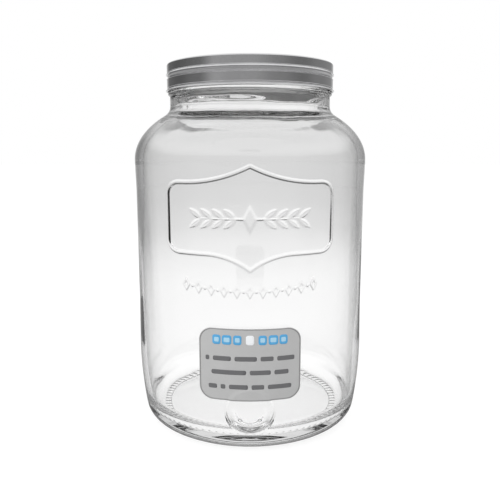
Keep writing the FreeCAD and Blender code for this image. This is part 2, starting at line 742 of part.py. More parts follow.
def main():
    """Build the three pieces, check every object and write one file for each piece."""
    boss = make_boss()
    pieces = (make_glass(boss), make_lid(), make_label(boss))
    document.recompute()
    for item in document.Objects:
        if "Invalid" in item.State or "Error" in item.State:
            raise ValueError(f"{item.Label} did not build: {item.State}")
    for piece in pieces:
        if piece.Shape.isNull() or not piece.Shape.isValid() or len(piece.Shape.Solids) != 1:
            raise ValueError(f"{piece.Label} is not one valid solid")
    os.makedirs("parts", exist_ok=True)
    for piece in pieces:
        piece.Shape.exportStep(f"parts/{piece.Label}.step")
        volume = piece.Shape.Volume / 1000
        print(f"{piece.Label}: {volume:.1f} cm3, {len(piece.Shape.Faces)} faces")


main()
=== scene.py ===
"""Looks of the glass storage jar: moulded glass, a satin steel lid and a small grey label.

Lengths are in metres. The jar stands on Z = 0 with its axis on Z, and its front looks along -Y.
"""
import logging
import math
from dataclasses import dataclass, field
from enum import Enum
from typing import Callable, Mapping, Sequence

import bmesh
import bpy
import numpy as np
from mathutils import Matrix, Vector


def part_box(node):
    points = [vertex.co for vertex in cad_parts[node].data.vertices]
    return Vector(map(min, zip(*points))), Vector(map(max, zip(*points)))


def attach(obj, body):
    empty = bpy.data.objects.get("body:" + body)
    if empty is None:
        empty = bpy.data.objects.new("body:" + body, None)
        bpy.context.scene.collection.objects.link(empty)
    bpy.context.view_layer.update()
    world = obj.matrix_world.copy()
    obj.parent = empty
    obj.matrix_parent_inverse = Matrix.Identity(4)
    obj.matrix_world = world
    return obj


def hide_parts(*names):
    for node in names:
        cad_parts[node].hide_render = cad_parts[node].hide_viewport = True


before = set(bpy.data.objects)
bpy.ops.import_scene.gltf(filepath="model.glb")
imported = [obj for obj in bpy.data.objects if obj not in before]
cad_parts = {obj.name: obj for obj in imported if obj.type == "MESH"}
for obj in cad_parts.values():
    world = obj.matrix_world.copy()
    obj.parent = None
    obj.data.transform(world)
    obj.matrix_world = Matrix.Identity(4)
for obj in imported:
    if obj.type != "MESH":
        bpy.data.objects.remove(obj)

Point = tuple[float, float]
Pairs = Sequence[tuple[float, float]]
Colour = tuple[float, float, float, float]
Faces = list[tuple[int, ...]]
Socket = bpy.types.NodeSocket

LOG = logging.getLogger("storage_jar")
MM = 0.001
BODY = "root"
LID_GAP = 1.25 * MM
FLOOR_LEVEL = -0.2 * MM
PLAIN_COLUMNS = 192
LID_COLUMNS = 240
FLOOR_COLUMNS = 96
HALVINGS = 60
TINY = 1e-9


class Shelf(Enum):
    """Which stretch of the glass a ring of points belongs to."""

    PLAIN = "plain"
    FRAME = "frame"
    GARLAND = "garland"
    BOSS = "boss"


class RayKind(Enum):
    """Outputs of the Light Path node that the glass and the stage tell apart."""

    CAMERA = "Is Camera Ray"
    DIFFUSE = "Is Diffuse Ray"
    GLOSSY = "Is Glossy Ray"
    TRANSMISSION = "Is Transmission Ray"
    SHADOW = "Is Shadow Ray"
    BOUNCED = "Glossy Depth"
    CROSSED = "Transmission Depth"


# ---------------------------------------------------------------------------
# Drawing outlines and turning them into skins
# ---------------------------------------------------------------------------


def ease(share: np.ndarray | float) -> np.ndarray | float:
    """Return a share from 0 to 1 with both its ends eased, as an S-curve."""
    return share ** 2 * (3 - 2 * share)


class Contour:
    """A smooth chain of lines and arcs in the (radius, height) plane, sampled into points."""

    SAME_POINT = 1e-7
    GUARD = 0.15 * MM
    WIDEST_GUARD = 0.25

    def __init__(self, step: float) -> None:
        """Start an empty contour.

        Args:
            step: greatest distance between two neighbouring points.
        """
        self.step = step
        self.points: list[Point] = []

    def _extend(self, new: Sequence[Point]) -> None:
        """Add points, leaving out any that repeats the one before it.

        Args:
            new: the points to add.
        """
        for point in new:
            if not self.points or math.dist(self.points[-1], point) > self.SAME_POINT:
                self.points.append(point)

    def line(self, start: Point, end: Point) -> None:
        """Add a straight stretch, with a point close to each end so that it shades as flat.

        Args:
            start: its first point.
            end: its last point.
        """
        length = math.dist(start, end)
        count = max(1, math.ceil(length / self.step))
        guard = min(self.GUARD / length, self.WIDEST_GUARD) if length else self.WIDEST_GUARD
        shares = sorted({index / count for index in range(count + 1)} | {guard, 1 - guard})
        self._extend([(start[0] + (end[0] - start[0]) * s, start[1] + (end[1] - start[1]) * s)
                      for s in shares])

    def arc(self, centre: Point, half_width: float, half_height: float, begin: float,
            finish: float, finest: float = 8.0) -> None:
        """Add a circle's or a level ellipse's arc.

        Args:
            centre: its middle.
            half_width: its level half axis.
            half_height: its upright half axis.
            begin: its first angle in degrees.
            finish: its last angle in degrees.
            finest: greatest turn between two points in degrees.
        """
        length = abs(math.radians(finish - begin)) * max(half_width, half_height)
        count = max(2, math.ceil(length / self.step), math.ceil(abs(finish - begin) / finest))
        angles = np.radians(np.linspace(begin, finish, count + 1))
        self._extend([(centre[0] + half_width * math.cos(a), centre[1] + half_height * math.sin(a))
                      for a in angles])

    def swell(self, side: float, level: float, knots: Pairs, parts: int = 6) -> None:
        """Carry an upright side down through knots, each flank an S-curve between two of them.

        Args:
            side: the plain radius.
            level: the height that the knots are measured from.
            knots: pairs of a rise above the level and a distance outside the plain radius.
            parts: how many stretches each flank has.
        """
        for (rise, out), (next_rise, next_out) in zip(knots, knots[1:]):
            for share in np.linspace(0, 1, parts + 1):
                self.points.append((side + out + (next_out - out) * ease(share),
                                    level + rise + (next_rise - rise) * share))


def even_columns(count: int) -> np.ndarray:
    """Return count angles round the axis, from the back round through the front."""
    return np.linspace(-math.pi, math.pi, count, endpoint=False)


def close_columns(stretches: Pairs) -> np.ndarray:
    """Return angles round the axis whose spacing changes from stretch to stretch.

    Args:
        stretches: for each stretch away from the front, the angle where it ends and its spacing,
            both in degrees; the last ends at 180.

    Returns:
        Angles in radians, rising from -pi, the same to both sides of the front.
    """
    right = [0.0]
    for end, spacing in stretches:
        count = max(1, round((end - right[-1]) / spacing))
        right.extend(np.linspace(right[-1], end, count + 1)[1:])
    side = np.array(right)
    return np.radians(np.concatenate([-side[:0:-1], side[:-1]]))


class TurnedSkin:
    """Rings of points round the axis, joined one to the next into faces."""

    def __init__(self) -> None:
        """Start with no rings."""
        self.points: list[np.ndarray] = []
        self.faces: Faces = []
        self.count = 0
        self.last: tuple[np.ndarray, int] | None = None
        self.pole: int | None = None

    def add_pole(self, height: float) -> None:
        """Add a single point on the axis, as the start or the end of the skin.

        Args:
            height: the point's height.
        """
        self.points.append(np.array([[0.0, 0.0, height]]))
        index = self.count
        self.count += 1
        if self.last is None:
            self.pole = index
            return
        angles, base = self.last
        for place in range(len(angles)):
            self.faces.append((base + place, base + (place + 1) % len(angles), index))
        self.last = None

    def add_ring(self, angles: np.ndarray, radii: np.ndarray, heights: np.ndarray) -> None:
        """Add a ring and join it to the ring or pole before it.

        Args:
            angles: where its points lie round the axis, in radians from the front.
            radii: their distances from the axis.
            heights: their heights.
        """
        places = np.stack([radii * np.sin(angles), -radii * np.cos(angles), heights], axis=1)
        self.points.append(places)
        base = self.count
        self.count += len(angles)
        if self.pole is not None:
            for place in range(len(angles)):
                self.faces.append((base + (place + 1) % len(angles), base + place, self.pole))
            self.pole = None
        elif self.last is not None:
            self._bridge(self.last, (angles, base))
        self.last = (angles, base)

    def add_level_ring(self, angles: np.ndarray, radius: float, height: float) -> None:
        """Add a true circle at one height."""
        self.add_ring(angles, np.full(len(angles), radius), np.full(len(angles), height))

    def _bridge(self, old: tuple[np.ndarray, int], new: tuple[np.ndarray, int]) -> None:
        """Join two rings: by quads where their angles match, otherwise by triangles.

        Args:
            old: the first ring's angles and the number of its first point.
            new: the same for the second ring.
        """
        (old_angles, old_base), (new_angles, new_base) = old, new
        old_count, new_count = len(old_angles), len(new_angles)
        if old_count == new_count and np.allclose(old_angles, new_angles):
            for place in range(old_count):
                after = (place + 1) % old_count
                self.faces.append((old_base + place, old_base + after,
                                   new_base + after, new_base + place))
            return
        full = 2 * math.pi
        i = j = 0
        while i < old_count or j < new_count:
            next_old = old_angles[(i + 1) % old_count] + full * ((i + 1) // old_count)
            next_new = new_angles[(j + 1) % new_count] + full * ((j + 1) // new_count)
            here_old, here_new = old_base + i % old_count, new_base + j % new_count
            if j >= new_count or (i < old_count and next_old <= next_new):
                self.faces.append((here_old, old_base + (i + 1) % old_count, here_new))
                i += 1
            else:
                self.faces.append((here_old, new_base + (j + 1) % new_count, here_new))
                j += 1

    def to_object(self, name: str, *materials: bpy.types.Material) -> bpy.types.Object:
        """Turn the skin into a smooth mesh object, linked to the scene."""
        return mesh_object(name, np.concatenate(self.points), self.faces, *materials)


def mesh_object(name: str, points: np.ndarray, faces: Faces,
                *materials: bpy.types.Material) -> bpy.types.Object:
    """Make a smooth-shaded object with its faces turned outwards.

    Args:
        name: the object's name.
        points: its vertices.
        faces: its faces as vertex numbers.
        materials: its materials.

    Returns:
        The new object, linked to the scene.
    """
    mesh = bpy.data.meshes.new(name)
    mesh.from_pydata([tuple(point) for point in points], [], faces)
    work = bmesh.new()
    work.from_mesh(mesh)
    bmesh.ops.recalc_face_normals(work, faces=work.faces[:])
    for face in work.faces:
        face.smooth = True
    work.to_mesh(mesh)
    work.free()
    for material in materials:
        mesh.materials.append(material)
    item = bpy.data.objects.new(name, mesh)
    bpy.context.scene.collection.objects.link(item)
    return item


# ---------------------------------------------------------------------------
# Node helpers and finishes
# ---------------------------------------------------------------------------


def grey(level: float) -> Colour:
    """Return an opaque grey."""
    return (level, level, level, 1.0)


class NodeBench:
    """Adds shader nodes to one tree and links them."""

    def __init__(self, tree: bpy.types.NodeTree) -> None:
        """Empty the tree and keep it."""
        self.tree = tree
        tree.nodes.clear()

    def add(self, kind: str, inputs: Mapping[int | str, object] | None = None,
            **settings: object) -> bpy.types.Node:
        """Add a node.

        Args:
            kind: the node's type, without the ShaderNode prefix.
            inputs: what each named or numbered input is given, a value or another node's output.
            settings: attributes to set on it.

        Returns:
            The new node.
        """
        node = self.tree.nodes.new("ShaderNode" + kind)
        for key, value in settings.items():
            setattr(node, key, value)
        for place, value in (inputs or {}).items():
            if isinstance(value, Socket):
                self.tree.links.new(value, node.inputs[place])
            else:
                node.inputs[place].default_value = value
        return node

    def math(self, operation: str, *values: Socket | float) -> Socket:
        """Return what a Math node works out from its inputs."""
        return self.add("Math", dict(enumerate(values)), operation=operation).outputs[0]

    def split(self, vector: Socket) -> Sequence[Socket]:
        """Return a vector's x, y and z."""
        return self.add("SeparateXYZ", {0: vector}).outputs

    def mix(self, share: Socket | float, first: Socket | Colour, second: Socket | Colour,
            blend: str = "MIX") -> Socket:
        """Mix two colours.

        Args:
            share: how much of the second there is, from 0 to 1.
            first: the first colour.
            second: the second colour.
            blend: how they are mixed.

        Returns:
            The mixed colour.
        """
        inputs = {0: share, 6: first, 7: second}
        return self.add("Mix", inputs, data_type="RGBA", blend_type=blend).outputs[2]

    def ramp(self, source: Socket, stops: Pairs) -> Socket:
        """Add a grey ramp.

        Args:
            source: the value to look up.
            stops: places and grey levels.

        Returns:
            The colour it gives.
        """
        node = self.add("ValToRGB", {0: source})
        node.color_ramp.interpolation = "EASE"
        elements = node.color_ramp.elements
        while len(elements) < len(stops):
            elements.new(0.5)
        for element, (place, level) in zip(elements, stops):
            element.position = place
            element.color = grey(level)
        return node.outputs[0]

    def noise(self, vector: Socket, scale: float, detail: float, roughness: float = 0.5) -> Socket:
        """Add a noise texture.

        Args:
            vector: where it is read.
            scale: how fine it is.
            detail: how many finer layers it has.
            roughness: how strong those are.

        Returns:
            The noise as a number from 0 to 1.
        """
        inputs = {"Vector": vector, "Scale": scale, "Detail": detail, "Roughness": roughness}
        return self.add("TexNoise", inputs).outputs["Fac"]

    def spread(self, source: Socket, low: float, high: float) -> Socket:
        """Stretch a value that runs from 0 to 1 so that it runs from low to high."""
        return self.add("MapRange", {"Value": source, "To Min": low, "To Max": high}).outputs["Result"]

    def bump(self, source: Socket, strength: float, distance: float) -> Socket:
        """Turn a height into a normal.

        Args:
            source: the height.
            strength: how much of it counts.
            distance: how high a value of 1 stands.

        Returns:
            The normal.
        """
        inputs = {"Height": source, "Strength": strength, "Distance": distance}
        return self.add("Bump", inputs).outputs["Normal"]

    def clouded(self, colour: Colour, fine: Socket, cloud: Socket, darkest: float) -> Socket:
        """Darken a colour where two noises together run low.

        Args:
            colour: the colour where they run high.
            fine: the first noise.
            cloud: the second noise.
            darkest: what is left of the colour where they run low.

        Returns:
            The uneven colour.
        """
        level = self.math("ADD", self.math("MULTIPLY", fine, 0.5), self.math("MULTIPLY", cloud, 0.5))
        return self.mix(1.0, colour, self.ramp(level, ((0.3, darkest), (0.7, 1.0))), "MULTIPLY")

    def ray(self, kind: RayKind) -> Socket:
        """Return 1 for rays of one kind and 0 for others, or a ray's depth."""
        return self.add("LightPath").outputs[kind.value]

    def past(self, kind: RayKind) -> Socket:
        """Return 1 where a ray's depth of one kind is one or more, and 0 before."""
        return self.math("GREATER_THAN", self.ray(kind), 0.5)


def new_material(name: str) -> tuple[bpy.types.Material, NodeBench]:
    """Make an empty node material.

    Args:
        name: its name.

    Returns:
        The material, and a bench on its tree.
    """
    material = bpy.data.materials.new(name)
    material.use_nodes = True
    return material, NodeBench(material.node_tree)


@dataclass(frozen=True)
class ClearGlass:
    """Clear moulded soda-lime glass that lets light through to the floor."""

    name: str = "clear_moulded_glass"
    # Painted shade: the glass's colour runs dark towards its outline, where it is seen at a slant.
    painted_edge_shade: Pairs = (
        (0.0, 0.99), (0.2, 0.985), (0.42, 0.96), (0.60, 0.84), (0.77, 0.42), (0.9, 0.15), (1.0, 0.1)
    )
    ior: float = 1.5
    shadow: float = 0.86

    def build(self) -> bpy.types.Material:
        """Make the material.

        Returns:
            Glass for seen rays, with painted shade that darkens it where it is met at a slant,
            and a nearly clear film for shadow rays.
        """
        material, bench = new_material(self.name)
        # Painted shade: the colour darkens with how slanted the view meets the surface, not with the
        # glass itself.
        slant = bench.add("LayerWeight", {"Blend": 0.5}).outputs["Facing"]
        glass = bench.add("BsdfPrincipled", {
            "Base Color": bench.ramp(slant, self.painted_edge_shade),
            "Roughness": 0.0,
            "IOR": self.ior,
            "Transmission Weight": 1.0,
        })
        film = bench.add("BsdfTransparent", {"Color": grey(self.shadow)})
        surface = bench.add("MixShader", {
            0: bench.ray(RayKind.SHADOW), 1: glass.outputs[0], 2: film.outputs[0],
        })
        bench.add("OutputMaterial", {"Surface": surface.outputs[0]})
        return material


@dataclass(frozen=True)
class SatinSteel:
    """Satin stainless steel, brushed round the lid."""

    name: str = "satin_brushed_steel"
    colour: Colour = (0.74, 0.74, 0.75, 1.0)
    darkest: float = 0.86
    roughness: tuple[float, float] = (0.06, 0.20)
    line_scale: float = 5200.0
    line_stretch: float = 0.012
    line_height: float = 0.04 * MM
    cloud_scale: float = 55.0

    def build(self) -> bpy.types.Material:
        """Make the material.

        Returns:
            A metal whose fine lines run round the axis.
        """
        material, bench = new_material(self.name)
        place = bench.add("TexCoord").outputs["Object"]
        x, y, z = bench.split(place)
        turn = bench.math("MULTIPLY", bench.math("ARCTAN2", x, y), self.line_stretch)
        square = bench.math("ADD", bench.math("MULTIPLY", x, x), bench.math("MULTIPLY", y, y))
        lines = bench.add("CombineXYZ", {0: turn, 1: bench.math("SQRT", square), 2: z})
        fine = bench.noise(lines.outputs[0], self.line_scale, detail=2.0, roughness=0.6)
        cloud = bench.noise(place, self.cloud_scale, detail=3.0)
        metal = bench.add("BsdfPrincipled", {
            "Base Color": bench.clouded(self.colour, fine, cloud, self.darkest),
            "Metallic": 1.0,
            "Roughness": bench.spread(fine, *self.roughness),
            "Normal": bench.bump(fine, strength=0.25, distance=self.line_height),
        })
        bench.add("OutputMaterial", {"Surface": metal.outputs[0]})
        return material


@dataclass(frozen=True)
class MattCoat:
    """Matt paper, print or coating with a fine tooth."""

    name: str
    colour: tuple[float, float, float]
    darkest: float = 0.95
    roughness: tuple[float, float] = (0.57, 0.70)
    specular: float = 0.25
    fibre_scale: float = 1400.0
    cloud_scale: float = 90.0
    tooth: float = 0.02 * MM

    def build(self) -> bpy.types.Material:
        """Make the material.

        Returns:
            A matt surface whose colour and height vary very slightly.
        """
        material, bench = new_material(self.name)
        place = bench.add("TexCoord").outputs["Object"]
        fibre = bench.noise(place, self.fibre_scale, detail=4.0, roughness=0.6)
        cloud = bench.noise(place, self.cloud_scale, detail=2.0)
        coat = bench.add("BsdfPrincipled", {
            "Base Color": bench.clouded((*self.colour, 1.0), fibre, cloud, self.darkest),
            "Roughness": bench.spread(fibre, *self.roughness),
            "Specular IOR Level": self.specular,
            "Normal": bench.bump(fibre, strength=0.4, distance=self.tooth),
        })
        bench.add("OutputMaterial", {"Surface": coat.outputs[0]})
        return material


# ---------------------------------------------------------------------------
# Moulded relief on the front of the glass
# ---------------------------------------------------------------------------


def line_distance(x: np.ndarray, z: np.ndarray, start: Point, end: Point) -> np.ndarray:
    """Return how far each point lies from a straight stretch.

    Args:
        x: the points' places across the front.
        z: their heights.
        start: the stretch's first point.
        end: its last point.

    Returns:
        The distances.
    """
    ax, az = end[0] - start[0], end[1] - start[1]
    share = np.clip(((x - start[0]) * ax + (z - start[1]) * az) / (ax * ax + az * az), 0, 1)
    return np.hypot(x - start[0] - share * ax, z - start[1] - share * az)


def arc_distance(x: np.ndarray, z: np.ndarray, centre: Point, radius: float, begin: float,
                 finish: float) -> np.ndarray:
    """Return how far each point lies from a circle's arc.

    Args:
        x: the points' places across the front.
        z: their heights.
        centre: the arc's middle.
        radius: its radius.
        begin: its lower angle in radians.
        finish: its higher angle in radians.

    Returns:
        The distances.
    """
    dx, dz = x - centre[0], z - centre[1]
    middle, half = (begin + finish) / 2, (finish - begin) / 2
    turn = np.angle(np.exp(1j * (np.arctan2(dz, dx) - middle)))
    ends = [np.hypot(dx - radius * math.cos(a), dz - radius * math.sin(a)) for a in (begin, finish)]
    return np.where(np.abs(turn) <= half, np.abs(np.hypot(dx, dz) - radius), np.minimum(*ends))


@dataclass
class FrameRidge:
    """The rounded ridge round the plaque, with a point above and below its middle."""

    middle: float = 152.7 * MM
    half_width: float = 51.8 * MM
    half_height: float = 21.8 * MM
    corner: float = 7.7 * MM
    rise: float = 9.8 * MM
    reach_top: float = 41.0 * MM
    reach_foot: float = 28.0 * MM
    ridge: float = 1.3 * MM
    height: float = 0.8 * MM
    left_swell: float = 0.5
    crest: float = 4.0
    right_softening: float = 2.0

    def distance(self, x: np.ndarray, z: np.ndarray) -> np.ndarray:
        """Return how far each point lies from the ridge's crest.

        Args:
            x: places across the front.
            z: heights.

        Returns:
            The distances.
        """
        across, quarter = np.abs(x), math.pi / 2
        nearest = np.full(x.shape, 1.0)
        for up, reach in ((1, self.reach_top), (-1, self.reach_foot)):
            rise = up * (z - self.middle)
            sweep = (reach ** 2 + self.rise ** 2) / (2 * self.rise)
            turn = math.asin(reach / sweep)
            straight = self.half_width - self.corner
            for piece in (
                line_distance(across, rise, (self.half_width, 0),
                              (self.half_width, self.half_height - self.corner)),
                arc_distance(across, rise, (straight, self.half_height - self.corner),
                             self.corner, 0, quarter),
                line_distance(across, rise, (straight, self.half_height), (reach, self.half_height)),
                arc_distance(across, rise, (reach, self.half_height + sweep), sweep,
                             -quarter - turn, -quarter),
            ):
                nearest = np.minimum(nearest, piece)
        return nearest

    def lift(self, x: np.ndarray, z: np.ndarray) -> np.ndarray:
        """Return how far the ridge stands out at each point.

        Args:
            x: places across the front.
            z: heights.

        Returns:
            The heights off the wall: tallest at the left end, softest at the right one.
        """
        share = np.clip(self.distance(x, z) / self.ridge, 0, 1)
        right = np.clip(x / self.half_width, 0, 1)
        left = np.clip(-x / self.half_width, 0, 1)
        tall = 1 + self.left_swell * left ** 4
        return self.height * tall * (1 - share ** (self.crest - self.right_softening * right)) ** 1.5


@dataclass
class Sprig:
    """A sprig in the middle of the plaque: a cut lozenge, a stem and pairs of pointed leaves."""

    middle: float = 152.7 * MM
    half_length: float = 38.0 * MM
    stem: float = 0.9 * MM
    leaf_length: float = 9.6 * MM
    leaf_width: float = 3.6 * MM
    leaf_angle: float = 38.0
    vein: float = 0.3 * MM
    vein_depth: float = 0.45
    vein_end: float = 0.85
    pairs: int = 4
    bud: float = 5.0 * MM
    bud_height: float = 9.4 * MM
    bud_slope: float = 2.6
    height: float = 0.8 * MM

    def leaf(self, x: np.ndarray, z: np.ndarray, root: float, angle: float) -> np.ndarray:
        """Return one leaf's height: a lens shape with a sunk middle vein.

        Args:
            x: places across the front.
            z: heights above the stem.
            root: where the leaf leaves the stem.
            angle: its lean in radians.

        Returns:
            The heights, from 0 to 1.
        """
        along = (x - root) * math.cos(angle) + z * math.sin(angle)
        off = np.abs(-(x - root) * math.sin(angle) + z * math.cos(angle))
        share = np.clip(along / self.leaf_length, 0, 1)
        width = self.leaf_width / 2 * 4 * share * (1 - share) + TINY
        crown = np.clip(1 - (off / width) ** 2, 0, 1) ** 0.5
        vein = self.vein_depth * np.exp(-(off / self.vein) ** 2) * (share < self.vein_end)
        return np.where((along > 0) & (along < self.leaf_length), crown - vein * crown, 0)

    def lift(self, x: np.ndarray, z: np.ndarray) -> np.ndarray:
        """Return how far the sprig stands out at each point.

        Args:
            x: places across the front.
            z: heights.

        Returns:
            The heights off the wall.
        """
        rise, across = z - self.middle, np.abs(x)
        lozenge = across / self.bud + np.abs(rise) / self.bud_height
        total = np.clip(self.bud_slope * (1 - lozenge), 0, 1)
        width = self.stem * np.clip(1 - across / self.half_length, 0, 1) + TINY
        total = np.maximum(total, np.clip(1 - (rise / width) ** 2, 0, 1) ** 0.7)
        pitch = (self.half_length - self.bud - self.leaf_length / 2) / self.pairs
        for pair in range(self.pairs):
            root = self.bud + pitch * (pair + 0.5)
            for up in (1, -1):
                angle = up * math.radians(self.leaf_angle)
                total = np.maximum(total, self.leaf(across, rise, root, angle))
        return self.height * total


@dataclass
class Garland:
    """A hanging row of outlined lozenges with round dots between them."""

    middle: float = 108.0 * MM
    half_length: float = 40.0 * MM
    rise: float = 3.0 * MM
    count: int = 11
    half_width: float = 2.5 * MM
    half_height: float = 4.7 * MM
    outline: float = 0.68
    inner_level: float = 0.3
    dot: float = 1.1 * MM
    height: float = 0.8 * MM

    def lift(self, x: np.ndarray, z: np.ndarray) -> np.ndarray:
        """Return how far the garland stands out at each point.

        Args:
            x: places across the front.
            z: heights.

        Returns:
            The heights off the wall.
        """
        total = np.zeros(x.shape)
        places = 2 * self.count - 1
        for place in range(places):
            share = 2 * place / (places - 1) - 1
            dx = x - share * self.half_length
            dz = z - self.middle - self.rise * share ** 2
            if place % 2 == 0:
                edge = np.abs(dx) / self.half_width + np.abs(dz) / self.half_height
                slope = (edge - self.outline) / (1 - self.outline)
                shape = np.clip(1 - slope ** 2, 0, 1) ** 0.6
                inner = np.maximum(shape, self.inner_level)
                shape = np.where(edge < self.outline, inner, shape)
            else:
                shape = np.clip(1 - (dx ** 2 + dz ** 2) / self.dot ** 2, 0, 1) ** 0.6
            total = np.maximum(total, shape)
        return self.height * total


@dataclass
class Boss:
    """The round boss low on the front, thicker at its foot, with a bulge behind its lower edge."""

    middle: float = 29.5 * MM
    radius: float = 15.8 * MM
    edge: float = 1.3 * MM
    foot_edge: float = 3.4 * MM
    height: float = 0.8 * MM
    foot_height: float = 2.8 * MM
    foot_start: float = 4.0 * MM
    ring_radius: float = 12.6 * MM
    ring_half: float = 4.0 * MM
    ring_drop: float = 1.0 * MM
    ring_depth: float = 3.7 * MM

    def _low(self, z: np.ndarray) -> np.ndarray:
        """Return how much of the boss's foot each height has, from 0 to 1."""
        share = (self.middle + self.foot_start - z) / (self.radius + self.foot_start)
        return np.clip(share, 0, 1) ** 1.5

    def lift(self, x: np.ndarray, z: np.ndarray) -> np.ndarray:
        """Return how far the boss stands out at each point.

        Args:
            x: places across the front.
            z: heights.

        Returns:
            The heights off the wall, greatest at the boss's foot.
        """
        low = self._low(z)
        edge = self.edge + (self.foot_edge - self.edge) * low
        inside = np.clip((self.radius - np.hypot(x, z - self.middle)) / edge, 0, 1)
        height = self.height + (self.foot_height - self.height) * low
        return height * ease(inside)

    def back(self, x: np.ndarray, z: np.ndarray) -> np.ndarray:
        """Return how far the wall's inner side bulges in behind the boss's lower edge.

        Args:
            x: places across the front.
            z: heights.

        Returns:
            The bulge, below zero where the wall is hollowed instead.
        """
        out = np.hypot(x, z + self.ring_drop - self.middle) - self.ring_radius
        share = np.clip(out / self.ring_half, -1, 1)
        return -self.ring_depth * self._low(z) * np.sin(math.pi * share)


# ---------------------------------------------------------------------------
# The glass
# ---------------------------------------------------------------------------


@dataclass
class Ripple:
    """The slow unevenness of moulded glass, as a sum of waves round and up the jar."""

    seed: int
    waves: int = 14
    shortest: float = 0.030
    longest: float = 0.120
    most_turns: int = 14

    def __post_init__(self) -> None:
        """Draw the waves once."""
        draw = np.random.default_rng(self.seed)
        self.around = draw.integers(1, self.most_turns, self.waves)
        self.upward = 2 * math.pi / draw.uniform(self.shortest, self.longest, self.waves)
        self.phase = draw.uniform(0, 2 * math.pi, (2, self.waves))

    def at(self, angles: np.ndarray, height: float) -> np.ndarray:
        """Return the unevenness of a ring, mostly between -1 and 1.

        Args:
            angles: where its points lie round the axis.
            height: the ring's height.

        Returns:
            One value for each point.
        """
        total = np.zeros(len(angles))
        for turn, rate, first, second in zip(self.around, self.upward, *self.phase):
            total += np.sin(turn * angles + first) * math.sin(rate * height + second)
        return total / math.sqrt(self.waves)


@dataclass
class Hollow:
    """What the hollow's surface has of its own: slow waves, a collar in the waist and a thread ring."""

    rim: float
    floor: float
    waves: float = 0.11 * MM
    neck_waves: float = 0.2 * MM
    neck_foot: float = 208.0 * MM
    neck_blend: float = 10.0 * MM
    calm_rim: float = 3.0 * MM
    rim_blend: float = 8.0 * MM
    calm_floor: float = 2.0 * MM
    floor_blend: float = 10.0 * MM
    collar: float = 3.0 * MM
    collar_height: float = 216.4 * MM
    collar_foot: float = 5.0 * MM
    collar_top: float = 8.0 * MM
    collar_fading: float = 0.4
    sway: float = 0.7 * MM
    slow_sway: float = 0.35 * MM
    thread: float = 0.8 * MM
    thread_height: float = 231.0 * MM
    thread_half: float = 1.5 * MM

    def __post_init__(self) -> None:
        """Draw the waves of the body and those of the neck."""
        self.body = Ripple(seed=11, shortest=0.05, longest=0.3, most_turns=26)
        self.neck = Ripple(seed=23, shortest=0.007, longest=0.03, most_turns=7)

    def _wave(self, angles: np.ndarray, height: float) -> np.ndarray:
        """Return how far the slow waves push a ring outwards.

        Args:
            angles: where its points lie round the axis.
            height: its height.

        Returns:
            One distance for each point.
        """
        share = np.clip((height - self.neck_foot) / self.neck_blend, 0, 1)
        near_rim = np.clip((self.rim - self.calm_rim - height) / self.rim_blend, 0, 1)
        near_floor = np.clip((height - self.floor - self.calm_floor) / self.floor_blend, 0, 1)
        strength = (self.waves + self.neck_waves * share) * near_rim * near_floor
        return strength * (self.body.at(angles, height) * (1 - share)
                           + self.neck.at(angles, height) * share)

    def inset(self, angles: np.ndarray, height: float) -> np.ndarray:
        """Return how far a ring stands in from the plain profile.

        Args:
            angles: where its points lie round the axis.
            height: its height.

        Returns:
            One distance for each point.
        """
        sway = (self.sway * self.neck.at(angles, self.collar_height)
                + self.slow_sway * self.body.at(3 * angles, 0))
        above_foot = height - self.collar_height - sway + self.collar_foot
        below_top = self.collar_height + sway + self.collar_top - height
        collar = (self.collar * (1 - self.collar_fading + self.collar_fading * np.cos(angles))
                  * ease(np.clip(above_foot / self.collar_foot, 0, 1))
                  * ease(np.clip(below_top / self.collar_top, 0, 1)))
        thread = (height - self.thread_height + sway) / self.thread_half
        return collar + self.thread * np.exp(-thread ** 2) - self._wave(angles, height)


@dataclass
class Underside:
    """The dished underside, with a steep step at its edge and a ring of moulded ticks."""

    bearing: float = 7.0 * MM
    recess: float = 2.4 * MM
    step: float = 0.7 * MM
    dish_rings: tuple[float, ...] = (*np.linspace(0.08, 0.96, 14), 0.985, 0.992)
    step_rings: Pairs = (
        (0.30 * MM, 0.93), (0.18 * MM, 0.65), (0.12 * MM, 0.35), (0.0, 0.06)
    )
    tick_rings: tuple[float, ...] = (0.04, 0.1, 0.16, 0.24, 0.4, 0.56, 0.68, 0.76, 0.84)
    tick_count: int = 84
    tick_columns: int = 8
    tick_depth: float = 0.75 * MM

    def add_rings(self, skin: TurnedSkin, foot: float) -> None:
        """Add the dish, its step and the bearing ring.

        Args:
            skin: the glass's skin, with nothing in it yet.
            foot: the radius where the heel's corner starts.
        """
        edge = foot - self.bearing
        depth = self.recess - self.step
        dish = (edge ** 2 + depth ** 2) / (2 * depth)
        skin.add_pole(self.recess)
        plain = even_columns(PLAIN_COLUMNS)
        for share in self.dish_rings:
            radius = edge * share
            skin.add_level_ring(plain, radius,
                                self.recess - dish + math.sqrt(dish ** 2 - radius ** 2))
        for inwards, share in self.step_rings:
            skin.add_level_ring(plain, edge - inwards, self.step * share)
        fine = even_columns(self.tick_count * self.tick_columns)
        wave = (0.5 - 0.5 * np.cos(fine * self.tick_count)) ** 3
        for share in self.tick_rings:
            rise = math.sin(math.pi * (share / self.tick_rings[-1])) ** 0.5
            skin.add_ring(fine, np.full(len(fine), edge + self.bearing * share),
                          self.tick_depth * rise * wave)


@dataclass(frozen=True)
class Meshing:
    """How closely a stretch of the wall with relief on it is meshed."""

    low: float
    high: float
    step: float
    columns: Pairs


MESHINGS = {
    Shelf.FRAME: Meshing(119 * MM, 187 * MM, 0.5 * MM,
                         ((37.6, 0.42), (40.4, 0.11), (41.6, 0.4), (180, 3.0))),
    Shelf.GARLAND: Meshing(101 * MM, 119 * MM, 0.33 * MM, ((31.6, 0.24), (180, 3.0))),
    Shelf.BOSS: Meshing(12 * MM, 47 * MM, 0.35 * MM, ((12.5, 0.25), (180, 3.0))),
}


